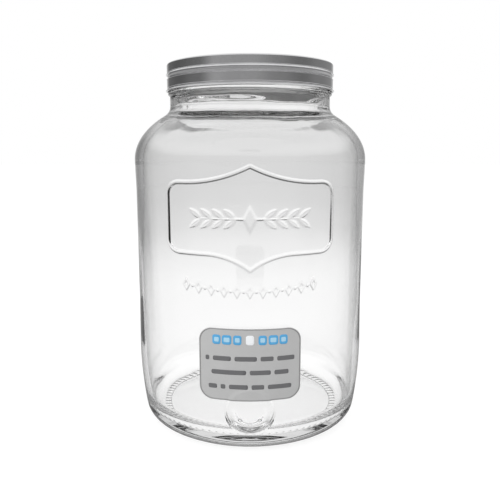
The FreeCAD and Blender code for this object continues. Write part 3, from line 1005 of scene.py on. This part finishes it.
@dataclass
class GlassJar:
    """The jar's single piece of glass, inside and outside."""

    radius: float
    rim: float
    wall: float = 4.0 * MM
    floor: float = 8.0 * MM
    floor_corner: float = 15.0 * MM
    heel: float = 53.8 * MM
    taper: float = 280.8 * MM
    heel_corner: float = 10.6 * MM
    shoulder: float = 187.0 * MM
    dome: float = 45.0 * MM
    neck: float = 56.8 * MM
    neck_wall: float = 4.0 * MM
    outer_round: float = 8.0 * MM
    inner_round: float = 12.0 * MM
    rim_round: float = 1.1 * MM
    bead: float = 1.3 * MM
    bead_drop: float = 19.35 * MM
    panel_sink: float = 0.45 * MM
    panel_top: float = 184.0 * MM
    panel_blend: float = 20.0 * MM
    panel_fade: float = 30.0 * MM
    relief_depth: float = 6.0 * MM
    uneven: float = 0.05 * MM
    trim: float = 0.06 * MM
    outer_step: float = 2.6 * MM
    inner_step: float = 3.2 * MM
    neck_step: float = 0.6 * MM
    corner_step: float = 0.5 * MM
    centre_ring: float = 4.0 * MM
    close_foot: float = 30.0 * MM
    close_front: Pairs = ((13.0, 0.4), (180, 3.0))
    finish: ClearGlass = ClearGlass()
    ridge: FrameRidge = field(default_factory=FrameRidge)
    sprig: Sprig = field(default_factory=Sprig)
    garland: Garland = field(default_factory=Garland)
    boss: Boss = field(default_factory=Boss)
    underside: Underside = field(default_factory=Underside)

    def wall_radius(self, height: np.ndarray) -> np.ndarray:
        """Return the plain outer radius between the heel's corner and the shoulder."""
        below = np.clip(self.heel - height, 0, None)
        return self.radius - self.taper + np.sqrt(self.taper ** 2 - below ** 2)

    def _foot(self, taper: float, corner: float, corner_height: float) -> tuple[float, float]:
        """Find how a corner arc meets the long taper arc above it.

        Args:
            taper: the taper arc's radius.
            corner: the corner arc's radius.
            corner_height: the height of the corner arc's middle.

        Returns:
            The radius at the corner arc's middle, and the angle where the taper arc takes over.
        """
        drop = self.heel - corner_height
        reach = math.sqrt((taper - corner) ** 2 - drop ** 2)
        return self.radius - self.taper + reach, -math.degrees(math.atan2(drop, reach))

    def _neck_rounding(self, half_width: float, half_height: float, neck: float,
                       rounding: float) -> tuple[float, Point, float]:
        """Find the arc that rounds the corner between the shoulder's ellipse and the neck.

        Args:
            half_width: the ellipse's level half axis.
            half_height: its upright half axis.
            neck: the neck's radius.
            rounding: the arc's radius.

        Returns:
            The ellipse's last angle, the arc's middle and the arc's first angle, in degrees.
        """
        low, high = 0.0, math.pi / 2
        for _ in range(HALVINGS):
            middle = (low + high) / 2
            slope = math.hypot(half_height * math.cos(middle), half_width * math.sin(middle))
            reach = (half_width + rounding * half_height / slope) * math.cos(middle)
            low, high = (middle, high) if reach > neck + rounding else (low, middle)
        normal = math.atan2(half_width * math.sin(low), half_height * math.cos(low))
        contact = self.shoulder + half_height * math.sin(low)
        centre = (neck + rounding, contact + rounding * math.sin(normal))
        return math.degrees(low), centre, 180 + math.degrees(normal)

    def _outside(self) -> list[Point]:
        """Draw the outer profile from the edge of the bearing ring up to the rim.

        Returns:
            Its points.
        """
        foot, foot_angle = self._foot(self.taper, self.heel_corner, self.heel_corner)
        dome_end, centre, begin = self._neck_rounding(
            self.radius, self.dome, self.neck, self.outer_round
        )
        bead = self.rim - self.bead_drop
        rim_start = self.rim - self.rim_round
        line = Contour(self.outer_step)
        line.arc((foot, self.heel_corner), self.heel_corner, self.heel_corner, -90, foot_angle,
                 finest=6)
        line.arc((self.radius - self.taper, self.heel), self.taper, self.taper, foot_angle, 0)
        line.line((self.radius, self.heel), (self.radius, self.shoulder))
        line.arc((0, self.shoulder), self.radius, self.dome, 0, dome_end, finest=2.2)
        line.arc(centre, self.outer_round, self.outer_round, begin, 180, finest=12)
        line.line((self.neck, centre[1]), (self.neck, bead - self.bead))
        line.arc((self.neck, bead), self.bead, self.bead, -90, 90, finest=15)
        line.line((self.neck, bead + self.bead), (self.neck, rim_start))
        line.arc((self.neck - self.rim_round, rim_start), self.rim_round, self.rim_round, 0, 90,
                 finest=18)
        return line.points

    def _inside(self) -> list[Point]:
        """Draw the inner profile from the rim down to the middle of the floor.

        Returns:
            Its points.
        """
        side, mouth = self.radius - self.wall, self.neck - self.neck_wall
        taper, dome = self.taper - self.wall, self.dome - self.wall
        foot, foot_angle = self._foot(taper, self.floor_corner, self.floor + self.floor_corner)
        dome_end, centre, begin = self._neck_rounding(side, dome, mouth, self.inner_round)
        rim_start = self.rim - self.rim_round
        line = Contour(self.inner_step)
        line.arc((mouth + self.rim_round, rim_start), self.rim_round, self.rim_round, 90, 180,
                 finest=18)
        line.step = self.neck_step
        line.line((mouth, rim_start), (mouth, centre[1]))
        line.arc(centre, self.inner_round, self.inner_round, 180, begin, finest=3)
        line.step = self.inner_step
        line.arc((0, self.shoulder), side, dome, dome_end, 0, finest=2.4)
        line.line((side, self.shoulder), (side, self.heel))
        line.arc((side - taper, self.heel), taper, taper, 0, foot_angle)
        line.step = self.corner_step
        line.arc((foot, self.floor + self.floor_corner), self.floor_corner, self.floor_corner,
                 foot_angle, -90, finest=5)
        line.step = self.inner_step
        line.line((foot, self.floor), (self.centre_ring, self.floor))
        return line.points

    def _shelf(self, radius: float, height: float) -> Shelf:
        """Tell which stretch a point of the outer profile belongs to.

        Args:
            radius: its distance from the axis.
            height: its height.

        Returns:
            The stretch.
        """
        if radius >= self.radius - self.relief_depth:
            for shelf, meshing in MESHINGS.items():
                if meshing.low < height < meshing.high:
                    return shelf
        return Shelf.PLAIN

    def _refine(self, profile: list[Point]) -> list[Point]:
        """Add points to the outer profile wherever relief stands on it.

        Args:
            profile: its plain points.

        Returns:
            Those points and the new ones between them.
        """
        refined = [profile[0]]
        for start, end in zip(profile, profile[1:]):
            shelf = self._shelf((start[0] + end[0]) / 2, (start[1] + end[1]) / 2)
            if shelf is not Shelf.PLAIN:
                count = max(1, math.ceil(math.dist(start, end) / MESHINGS[shelf].step))
                for place in range(1, count):
                    height = start[1] + (end[1] - start[1]) * place / count
                    refined.append((float(self.wall_radius(np.array(height))), height))
            refined.append(end)
        return refined

    def _panel(self, height: np.ndarray) -> np.ndarray:
        """Return how far the wall is sunk below the shoulder's swelling.

        Args:
            height: where it is asked for.

        Returns:
            The depth there.
        """
        share = np.clip((self.panel_top - height) / self.panel_blend, 0, 1)
        fade = np.clip((height - self.heel) / self.panel_fade, 0, 1)
        return self.panel_sink * ease(share) * fade

    def _outer_rings(self, skin: TurnedSkin) -> None:
        """Add the outer wall, with all that is moulded on it.

        Args:
            skin: the glass's skin so far.
        """
        columns = {shelf: close_columns(meshing.columns) for shelf, meshing in MESHINGS.items()}
        columns[Shelf.PLAIN] = even_columns(PLAIN_COLUMNS)
        ripple = Ripple(seed=5, shortest=0.05, longest=0.2)
        for radius, height in self._refine(self._outside()):
            angles = columns[self._shelf(radius, height)]
            x, z = radius * np.sin(angles), np.full(len(angles), height)
            front = (np.cos(angles) > 0) & (radius > self.radius - self.relief_depth)
            relief = sum(part.lift(x, z) for part in (self.ridge, self.sprig, self.garland, self.boss))
            uneven = self.uneven * ripple.at(angles, height) - self.trim
            skin.add_ring(angles, radius + np.where(front, relief, 0) - self._panel(z) + uneven, z)

    def _inner_rings(self, skin: TurnedSkin) -> None:
        """Add the hollow, whose surface is less even than the moulded outside.

        Args:
            skin: the glass's skin so far.
        """
        plain, close = even_columns(PLAIN_COLUMNS), close_columns(self.close_front)
        hollow = Hollow(self.rim, self.floor)
        for radius, height in self._inside():
            angles = close if radius > self.radius / 2 and height < self.close_foot else plain
            x, z = radius * np.sin(angles), np.full(len(angles), height)
            bulged = (np.cos(angles) > 0) & (radius > self.neck)
            bulge = np.where(bulged, self.boss.back(x, z), 0)
            skin.add_ring(angles, radius - hollow.inset(angles, height) - bulge, z)

    def build(self) -> bpy.types.Object:
        """Build the glass as one closed skin.

        Returns:
            The glass object, standing for the jar's node.
        """
        skin = TurnedSkin()
        foot, _ = self._foot(self.taper, self.heel_corner, self.heel_corner)
        self.underside.add_rings(skin, foot)
        self._outer_rings(skin)
        self._inner_rings(skin)
        skin.add_pole(self.floor)
        glass = skin.to_object("jar_glass_moulded", self.finish.build())
        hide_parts("jar_glass")
        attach(glass, BODY)
        return glass


# ---------------------------------------------------------------------------
# The lid
# ---------------------------------------------------------------------------


@dataclass
class ScrewLid:
    """The pressed steel lid: sunk panel, rolled groove and rolled hem."""

    inside: float
    top: float
    foot: float
    mouth: float
    sheet: float = 0.55 * MM
    corner: float = 0.9 * MM
    panel_depth: float = 1.2 * MM
    panel_gap: float = 1.6 * MM
    panel_round: float = 1.1 * MM
    panel_slope: float = -40.0
    wall_run: float = 0.5 * MM
    wall_drop: float = 0.35 * MM
    crown: float = 1.0 * MM
    crown_run: float = 1.3 * MM
    groove_drop: float = 8.4 * MM
    groove_depth: float = 0.9 * MM
    groove_half: float = 1.3 * MM
    groove_reach: float = 1.6 * MM
    groove_knots: Pairs = (
        (2.6 * MM, 0.0), (2.4 * MM, -0.15 * MM), (1.3 * MM, 0.6 * MM), (1.15 * MM, 0.6 * MM),
        (0.9 * MM, -0.25 * MM), (-0.8 * MM, -0.85 * MM), (-1.85 * MM, 0.15 * MM), (-2.1 * MM, 0.0),
    )
    hem_knots: Pairs = (
        (2.2 * MM, 0.0), (1.9 * MM, -0.25 * MM), (1.7 * MM, -0.25 * MM), (0.28 * MM, 0.95 * MM),
    )
    foot_gap: float = 0.05 * MM
    step: float = 4.5 * MM
    centre_ring: float = 3.0 * MM
    finish: SatinSteel = SatinSteel()
    lining: MattCoat = MattCoat("lid_pale_lining", (0.8, 0.8, 0.8), roughness=(0.35, 0.48))

    def _outside(self) -> list[Point]:
        """Draw the outer profile from the middle of the top down to the hem's foot.

        Returns:
            Its points.
        """
        outside, corner = self.inside + self.sheet, self.corner
        groove, low = self.top - self.groove_drop, self.top - self.panel_depth
        bend = (self.mouth - self.panel_gap - self.sheet - self.panel_round, low + self.panel_round)
        slope = math.radians(self.panel_slope)
        knee = (bend[0] + self.panel_round * math.cos(slope),
                bend[1] + self.panel_round * math.sin(slope))
        crown = knee[0] + self.crown_run
        line = Contour(self.step)
        line.line((self.centre_ring, low), (bend[0], low))
        line.arc(bend, self.panel_round, self.panel_round, -90, self.panel_slope, finest=10)
        line.line(knee, (knee[0] + self.wall_run, self.top - self.wall_drop))
        line.arc((crown, self.top - self.crown), self.crown, self.crown, 140, 90, finest=10)
        line.line((crown, self.top), (outside - corner, self.top))
        line.arc((outside - corner, self.top - corner), corner, corner, 90, 0, finest=9)
        line.line((outside, self.top - corner), (outside, groove + self.groove_knots[0][0]))
        line.swell(outside, groove, self.groove_knots)
        line.line((outside, groove + self.groove_knots[-1][0]),
                  (outside, self.foot + self.hem_knots[0][0]))
        line.swell(outside, self.foot, self.hem_knots)
        hem, last_out = self.hem_knots[-1]
        hem_middle = outside + last_out - hem
        line.arc((hem_middle, self.foot + hem), hem, hem, 0, -90, finest=15)
        line.line((hem_middle, self.foot), (outside, self.foot))
        return line.points

    def _inside(self) -> list[Point]:
        """Draw the inner profile from the hem's foot back up to the middle of the panel.

        Returns:
            Its points.
        """
        rim, panel = self.top - self.sheet, self.mouth - self.panel_gap
        groove, knee = self.top - self.groove_drop, self.top - self.corner
        low, turned = rim - self.panel_depth, self.corner - self.sheet
        shoulder = self.inside - turned
        line = Contour(self.step)
        line.line((self.inside, self.foot + self.foot_gap), (self.inside, groove - self.groove_reach))
        line.arc((self.inside, groove), self.groove_depth, self.groove_half, 250, 110, finest=12)
        line.line((self.inside, groove + self.groove_reach), (self.inside, knee))
        line.arc((shoulder, knee), turned, turned, 0, 90, finest=15)
        line.line((shoulder, rim), (panel + self.panel_depth, rim))
        line.line((panel + self.panel_depth, rim), (panel, low))
        line.line((panel, low), (self.centre_ring, low))
        return line.points

    def build(self) -> bpy.types.Object:
        """Build the lid as one closed skin.

        Returns:
            The lid object, standing for the lid's node.
        """
        skin = TurnedSkin()
        angles = even_columns(LID_COLUMNS)
        skin.add_pole(self.top - self.panel_depth)
        for radius, height in self._outside():
            skin.add_level_ring(angles, radius, height)
        outer_count = len(skin.faces)
        for radius, height in self._inside():
            skin.add_level_ring(angles, radius, height)
        skin.add_pole(self.top - self.sheet - self.panel_depth)
        lid = skin.to_object("screw_lid_pressed", self.finish.build(), self.lining.build())
        for polygon in lid.data.polygons:
            polygon.material_index = int(polygon.index >= outer_count)
        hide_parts("screw_lid")
        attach(lid, BODY)
        return lid


# ---------------------------------------------------------------------------
# The label
# ---------------------------------------------------------------------------


Patch = tuple[np.ndarray, Faces]


@dataclass(frozen=True)
class PrintBlock:
    """A rounded block of print: its middle across and up, its half sizes and its rounding."""

    across: float
    up: float
    half_width: float
    half_height: float
    corner: float


@dataclass
class StickyLabel:
    """A small grey label stuck low on the front, with plain blocks of print."""

    wall: Callable[[np.ndarray], np.ndarray]
    boss: Boss
    middle: float
    half_width: float
    half_height: float
    corner: float = 8.5 * MM
    sheet: float = 0.22 * MM
    ink: float = 0.03 * MM
    glue: float = 0.02 * MM
    boss_margin: float = 1.2 * MM
    boss_ramp: float = 3.0 * MM
    rim_margin: float = 0.35 * MM
    rim_hole: float = 0.982
    outline_step: float = 0.4 * MM
    outline_count: int = 320
    rings: int = 40
    smallest_ring: float = 0.02
    heading_up: float = 16.4 * MM
    heading_blocks: Pairs = (
        (-21.0 * MM, 2.6 * MM), (-14.6 * MM, 3.0 * MM), (-7.9 * MM, 2.6 * MM),
        (7.9 * MM, 2.6 * MM), (14.6 * MM, 3.0 * MM), (21.0 * MM, 2.6 * MM),
    )
    block_half: float = 3.1 * MM
    block_corner: float = 1.5 * MM
    inset_margin: float = 1.1 * MM
    inset_half: float = 1.5 * MM
    inset_corner: float = 0.7 * MM
    white_half: float = 2.6 * MM
    bar_gap: float = 2.3 * MM
    bar_half: float = 1.5 * MM
    bar_corner: float = 0.9 * MM
    bar_rows: tuple[tuple[float, tuple[float, ...]], ...] = (
        (4.2 * MM, (2.4 * MM, 11.4 * MM, 14.0 * MM, 8.2 * MM, 11.0 * MM)),
        (-4.8 * MM, (22.0 * MM, 13.2 * MM, 9.0 * MM)),
        (-14.4 * MM, (5.4 * MM, 3.0 * MM, 12.0 * MM, 8.0 * MM, 15.0 * MM)),
    )
    print_count: int = 48
    print_rings: int = 4
    paper: MattCoat = MattCoat("label_grey_paper", (0.475, 0.475, 0.475))
    edge_ink: MattCoat = MattCoat("label_edge_ink", (0.24, 0.24, 0.24))
    dark_ink: MattCoat = MattCoat("label_dark_ink", (0.15, 0.15, 0.155))
    blue_ink: MattCoat = MattCoat("label_blue_ink", (0.10, 0.38, 0.68))
    pale_ink: MattCoat = MattCoat("label_pale_blue_ink", (0.40, 0.64, 0.80))
    white_ink: MattCoat = MattCoat("label_white_ink", (0.86, 0.88, 0.90))

    def _surface(self, x: np.ndarray, z: np.ndarray, off: float) -> np.ndarray:
        """Find places at a distance off the glass, over the boss as well.

        Args:
            x: how far across the front they are.
            z: their heights.
            off: the distance.

        Returns:
            The places.
        """
        from_boss = np.hypot(x, z - self.boss.middle)
        ramp = np.clip((self.boss.radius + self.boss_margin - from_boss) / self.boss_ramp, 0, 1)
        radius = self.wall(z) + self.boss.height * ease(ramp) + off
        return np.stack([x, -np.sqrt(radius ** 2 - x ** 2), z], axis=1)

    def _edge(self, block: PrintBlock, count: int) -> np.ndarray:
        """Return points evenly along a block's outline.

        Args:
            block: the block, placed from the label's middle.
            count: how many points.

        Returns:
            The points as pairs of a place across the front and a height.
        """
        line = Contour(self.outline_step)
        corner = block.corner
        inner = (block.half_width - corner, block.half_height - corner)
        for turn, (side, up) in enumerate(((1, 1), (-1, 1), (-1, -1), (1, -1))):
            line.arc((side * inner[0], up * inner[1]), corner, corner, turn * 90, turn * 90 + 90,
                     finest=6)
        points = np.array(line.points + line.points[:1])
        lengths = np.concatenate([[0], np.cumsum(np.hypot(*np.diff(points, axis=0).T))])
        wanted = np.linspace(0, lengths[-1], count, endpoint=False)
        even = np.stack([np.interp(wanted, lengths, points[:, k]) for k in (0, 1)], axis=1)
        return even + np.array([block.across, self.middle + block.up])

    def _patch(self, outline: np.ndarray, low: float, high: float, rings: int,
               hole: float = 0.0) -> Patch:
        """Drape a flat outline over the glass as a thin closed sheet.

        Args:
            outline: its edge, as pairs of a place across the front and a height.
            low: how far its back lies off the glass.
            high: how far its front lies off the glass.
            rings: how many rings of points lie between its edge and its middle.
            hole: 0 for a full patch, or the scale of the hole in a ring-shaped one.

        Returns:
            The vertices and the faces.
        """
        centre = outline.mean(axis=0)
        count, total = len(outline), rings + 1
        sheets = []
        for off in (high, low):
            for scale in np.linspace(1, hole or self.smallest_ring, total):
                flat = centre + (outline - centre) * scale
                sheets.append(self._surface(flat[:, 0], flat[:, 1], off))
        pairs = []
        for ring in range(rings):
            pairs += [(ring, ring + 1), (total + ring + 1, total + ring)]
        pairs.append((total, 0))
        if hole:
            pairs.append((rings, 2 * total - 1))
        faces: Faces = []
        for first, second in pairs:
            for place in range(count):
                after = (place + 1) % count
                faces.append((first * count + place, first * count + after,
                              second * count + after, second * count + place))
        if not hole:
            faces.append(tuple(rings * count + place for place in range(count)))
            faces.append(tuple((2 * total - 1) * count + place for place in reversed(range(count))))
        return np.concatenate(sheets), faces

    def _piece(self, name: str, finish: MattCoat, *patches: Patch) -> bpy.types.Object:
        """Join patches into one object that rides with the jar.

        Args:
            name: the object's name.
            finish: what it is made of.
            patches: the patches.

        Returns:
            The object.
        """
        points, faces, base = [], [], 0
        for vertices, part_faces in patches:
            points.append(vertices)
            faces.extend(tuple(base + index for index in face) for face in part_faces)
            base += len(vertices)
        item = mesh_object(name, np.concatenate(points), faces, finish.build())
        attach(item, BODY)
        return item

    def _print(self, name: str, finish: MattCoat, blocks: Sequence[PrintBlock],
               layer: int = 0) -> bpy.types.Object:
        """Print blocks in one ink.

        Args:
            name: the object's name.
            finish: the ink.
            blocks: the blocks.
            layer: how many layers of ink lie under them.

        Returns:
            The object.
        """
        low = self.sheet + self.ink * layer
        return self._piece(name, finish, *(
            self._patch(self._edge(block, self.print_count), low, low + self.ink, self.print_rings)
            for block in blocks
        ))

    def _bars(self) -> list[PrintBlock]:
        """Lay out rows of bars whose lengths vary as words do.

        Returns:
            The bars.
        """
        blocks = []
        for up, lengths in self.bar_rows:
            start = -(sum(lengths) + self.bar_gap * (len(lengths) - 1)) / 2
            for length in lengths:
                blocks.append(PrintBlock(start + length / 2, up, length / 2, self.bar_half,
                                         self.bar_corner))
                start += length + self.bar_gap
        return blocks

    def build(self) -> list[bpy.types.Object]:
        """Build the label and its print.

        Returns:
            The paper first, then each colour of print.
        """
        whole = PrintBlock(0, 0, self.half_width, self.half_height, self.corner)
        paper = self._piece("label_sheet", self.paper, self._patch(
            self._edge(whole, self.outline_count), self.glue, self.sheet, self.rings))
        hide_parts("label")
        rim = PrintBlock(0, 0, self.half_width - self.rim_margin, self.half_height - self.rim_margin,
                         self.corner - self.rim_margin)
        blocks = [PrintBlock(across, self.heading_up, half, self.block_half, self.block_corner)
                  for across, half in self.heading_blocks]
        insets = [PrintBlock(block.across, block.up, block.half_width - self.inset_margin,
                             self.inset_half, self.inset_corner) for block in blocks]
        white = PrintBlock(0, self.heading_up, self.white_half, self.block_half, self.block_corner)
        return [
            paper,
            self._piece("label_rim_print", self.edge_ink, self._patch(
                self._edge(rim, self.outline_count), self.sheet, self.sheet + self.ink, 1,
                self.rim_hole)),
            self._print("label_blue_print", self.blue_ink, blocks),
            self._print("label_pale_print", self.pale_ink, insets, layer=1),
            self._print("label_white_print", self.white_ink, [white]),
            self._print("label_dark_print", self.dark_ink, self._bars()),
        ]


# ---------------------------------------------------------------------------
# Stage, lamps and camera
# ---------------------------------------------------------------------------


@dataclass(frozen=True)
class SoftLamp:
    """A square soft lamp that faces the jar."""

    name: str
    place: tuple[float, float, float]
    size: float
    power: float
    target: tuple[float, float, float] = (0.0, 0.0, 0.12)

    def hang(self) -> None:
        """Add the lamp to the scene, out of sight of mirrored and refracted rays."""
        data = bpy.data.lights.new(self.name, "AREA")
        data.shape = "SQUARE"
        data.size = self.size
        data.energy = self.power
        lamp = bpy.data.objects.new(self.name, data)
        lamp.location = self.place
        across, along, drop = np.array(self.target) - np.array(self.place)
        lamp.rotation_euler = (math.atan2(math.hypot(across, along), -drop), 0,
                               math.atan2(along, across) - math.pi / 2)
        lamp.visible_glossy = False
        lamp.visible_transmission = False
        bpy.context.scene.collection.objects.link(lamp)


@dataclass
class Studio:
    """A white floor, a plain light sky, two soft lamps and the camera.

    Where the glass or the metal shows the sky and the floor, they have lighter and darker areas.
    """

    floor_radius: float = 8.0
    floor_rings: tuple[float, ...] = (0.5, 2.0)
    floor_lit: float = 0.8
    floor_seen: float = 0.82
    floor_shade: float = 0.24
    glass_bounces: int = 24
    sky: float = 0.92
    sky_through: Pairs = (
        (0.0, 0.95), (0.42, 0.90), (0.47, 0.73), (0.565, 0.74), (0.605, 0.05), (1.0, 0.05)
    )
    floor_through: Pairs = (
        (0.0, 0.95), (0.009, 0.93), (0.018, 0.74), (0.045, 0.70), (0.09, 0.62), (0.15, 0.56),
        (0.25, 0.52), (1.0, 0.50)
    )
    panels: Pairs = (
        (0.0, 0.85), (0.05, 0.55), (0.10, 0.15), (0.18, 0.12), (0.30, 0.18), (0.37, 0.40),
        (0.50, 0.36), (0.61, 0.26), (0.70, 0.18), (0.80, 0.24), (0.90, 0.28), (0.95, 0.55),
        (1.0, 0.85),
    )
    panels_top: Pairs = ((0.60, 0.0), (0.74, 1.0))
    panels_foot: Pairs = ((0.22, 0.0), (0.5, 1.0))
    inside_lift: float = 0.4
    inside_level: float = 0.8
    top_levels: Pairs = ((0.0, 1.0), (1.0, 0.75))
    near_levels: Pairs = ((0.0, 0.08), (1.0, 0.85))
    lamps: tuple[SoftLamp, ...] = (
        SoftLamp("soft_key", (-0.7, -0.5, 1.0), 0.6, 5.0),
        SoftLamp("soft_fill", (0.8, 0.4, 0.9), 0.7, 3.0),
    )
    camera_place: tuple[float, float, float] = (0.0, -0.428, 0.1934)
    camera_tilt: float = 9.72
    lens: float = 41.76
    sensor: float = 36.0
    clip: tuple[float, float] = (0.01, 50.0)

    def _panels(self, bench: NodeBench, x: Socket, y: Socket) -> Socket:
        """Give the grey of the panels that stand round the jar, as mirrored things show them.

        Args:
            bench: the tree to add to.
            x: the direction's part to the right of the front.
            y: its part towards the back.

        Returns:
            The grey: light at the back, dark to both sides and middling at the front.
        """
        turn = bench.math("ARCTAN2", x, bench.math("MULTIPLY", y, -1.0))
        share = bench.math("ADD", bench.math("DIVIDE", turn, 2 * math.pi), 0.5)
        return bench.ramp(share, self.panels)

    def _sky(self) -> None:
        """Build the sky: white where it is seen, plain where it lights, a studio where mirrored."""
        world = bpy.data.worlds.new("studio_sky")
        bpy.context.scene.world = world
        world.use_nodes = True
        bench = NodeBench(world.node_tree)
        x, y, z = bench.split(bench.add("TexCoord").outputs["Generated"])
        rise = bench.math("ADD", bench.math("MULTIPLY", z, 0.5), 0.5)
        crossed = bench.past(RayKind.CROSSED)
        panels = bench.mix(bench.math("MULTIPLY", crossed, self.inside_lift),
                           self._panels(bench, x, y), grey(self.inside_level))
        mirrored = bench.mix(bench.ramp(rise, self.panels_top), panels,
                             bench.ramp(crossed, self.top_levels))
        shown = bench.mix(bench.past(RayKind.BOUNCED), bench.ramp(rise, self.sky_through), mirrored)
        lit = bench.mix(bench.ray(RayKind.DIFFUSE), shown, grey(self.sky))
        seen = bench.mix(bench.ray(RayKind.CAMERA), lit, grey(1.0))
        light = bench.add("Background", {"Color": seen})
        bench.add("OutputWorld", {"Surface": light.outputs[0]})

    def _floor_material(self) -> bpy.types.Material:
        """Make the floor's material: white, with the object's shadow kept.

        Returns:
            A diffuse white, with light of its own for seen, mirrored and refracted rays.
        """
        material, bench = new_material("white_floor")
        place = bench.add("TexCoord").outputs["Object"]
        x, y, _ = bench.split(place)
        away = bench.add("VectorMath", {0: place}, operation="LENGTH").outputs["Value"]
        far = bench.ramp(bench.math("MULTIPLY", away, 0.5), self.panels_foot)
        near = bench.ramp(bench.past(RayKind.CROSSED), self.near_levels)
        mirrored = bench.mix(far, near, self._panels(bench, x, y))
        through = bench.ramp(bench.math("DIVIDE", away, self.floor_radius), self.floor_through)
        shown = bench.mix(bench.past(RayKind.BOUNCED), through, mirrored)
        level = bench.mix(bench.ray(RayKind.CAMERA), shown, grey(self.floor_seen))
        glow = bench.add("Emission", {"Color": level})
        shade = bench.add("BsdfDiffuse", {"Color": grey(self.floor_shade)})
        bright = bench.add("AddShader", {0: glow.outputs[0], 1: shade.outputs[0]})
        plain = bench.add("BsdfDiffuse", {"Color": grey(self.floor_lit)})
        bent = bench.math("MAXIMUM", bench.ray(RayKind.GLOSSY), bench.ray(RayKind.TRANSMISSION))
        seen = bench.math("MAXIMUM", bench.ray(RayKind.CAMERA), bent)
        surface = bench.add("MixShader", {0: seen, 1: plain.outputs[0], 2: bright.outputs[0]})
        bench.add("OutputMaterial", {"Surface": surface.outputs[0]})
        return material

    def _floor(self) -> None:
        """Lay the floor just under the jar."""
        skin = TurnedSkin()
        skin.add_pole(FLOOR_LEVEL)
        for radius in (*self.floor_rings, self.floor_radius):
            skin.add_level_ring(even_columns(FLOOR_COLUMNS), radius, FLOOR_LEVEL)
        floor = skin.to_object("floor", self._floor_material())

    def _camera(self) -> None:
        """Set up the camera."""
        data = bpy.data.cameras.new("camera")
        data.lens = self.lens
        data.sensor_width = self.sensor
        data.clip_start, data.clip_end = self.clip
        camera = bpy.data.objects.new("camera", data)
        camera.location = self.camera_place
        camera.rotation_euler = (math.radians(90 - self.camera_tilt), 0, 0)
        bpy.context.scene.collection.objects.link(camera)
        bpy.context.scene.camera = camera

    def build(self) -> None:
        """Build the sky, the floor, the lamps and the camera."""
        bpy.context.scene.view_settings.view_transform = "Standard"
        paths = bpy.context.scene.cycles
        paths.max_bounces = self.glass_bounces
        paths.glossy_bounces = self.glass_bounces
        paths.transmission_bounces = self.glass_bounces
        self._sky()
        self._floor()
        for lamp in self.lamps:
            lamp.hang()
        self._camera()


def main() -> None:
    """Build the jar, the lid, the label and the studio."""
    logging.basicConfig(level=logging.INFO, format="%(name)s: %(message)s")
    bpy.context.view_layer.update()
    _, glass_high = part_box("jar_glass")
    lid_low, lid_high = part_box("screw_lid")
    label_low, label_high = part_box("label")

    jar = GlassJar(radius=glass_high[0], rim=glass_high[2])
    lid = ScrewLid(inside=jar.neck + LID_GAP, top=lid_high[2], foot=lid_low[2],
                   mouth=jar.neck - jar.neck_wall)
    label = StickyLabel(
        wall=jar.wall_radius, boss=jar.boss, middle=(label_low[2] + label_high[2]) / 2,
        half_width=label_high[0], half_height=(label_high[2] - label_low[2]) / 2,
    )
    for piece in (jar.build(), lid.build(), *label.build()):
        LOG.info("%s: %d faces", piece.name, len(piece.data.polygons))

    Studio().build()
    LOG.info("studio built")


if __name__ == "__main__":
    main()
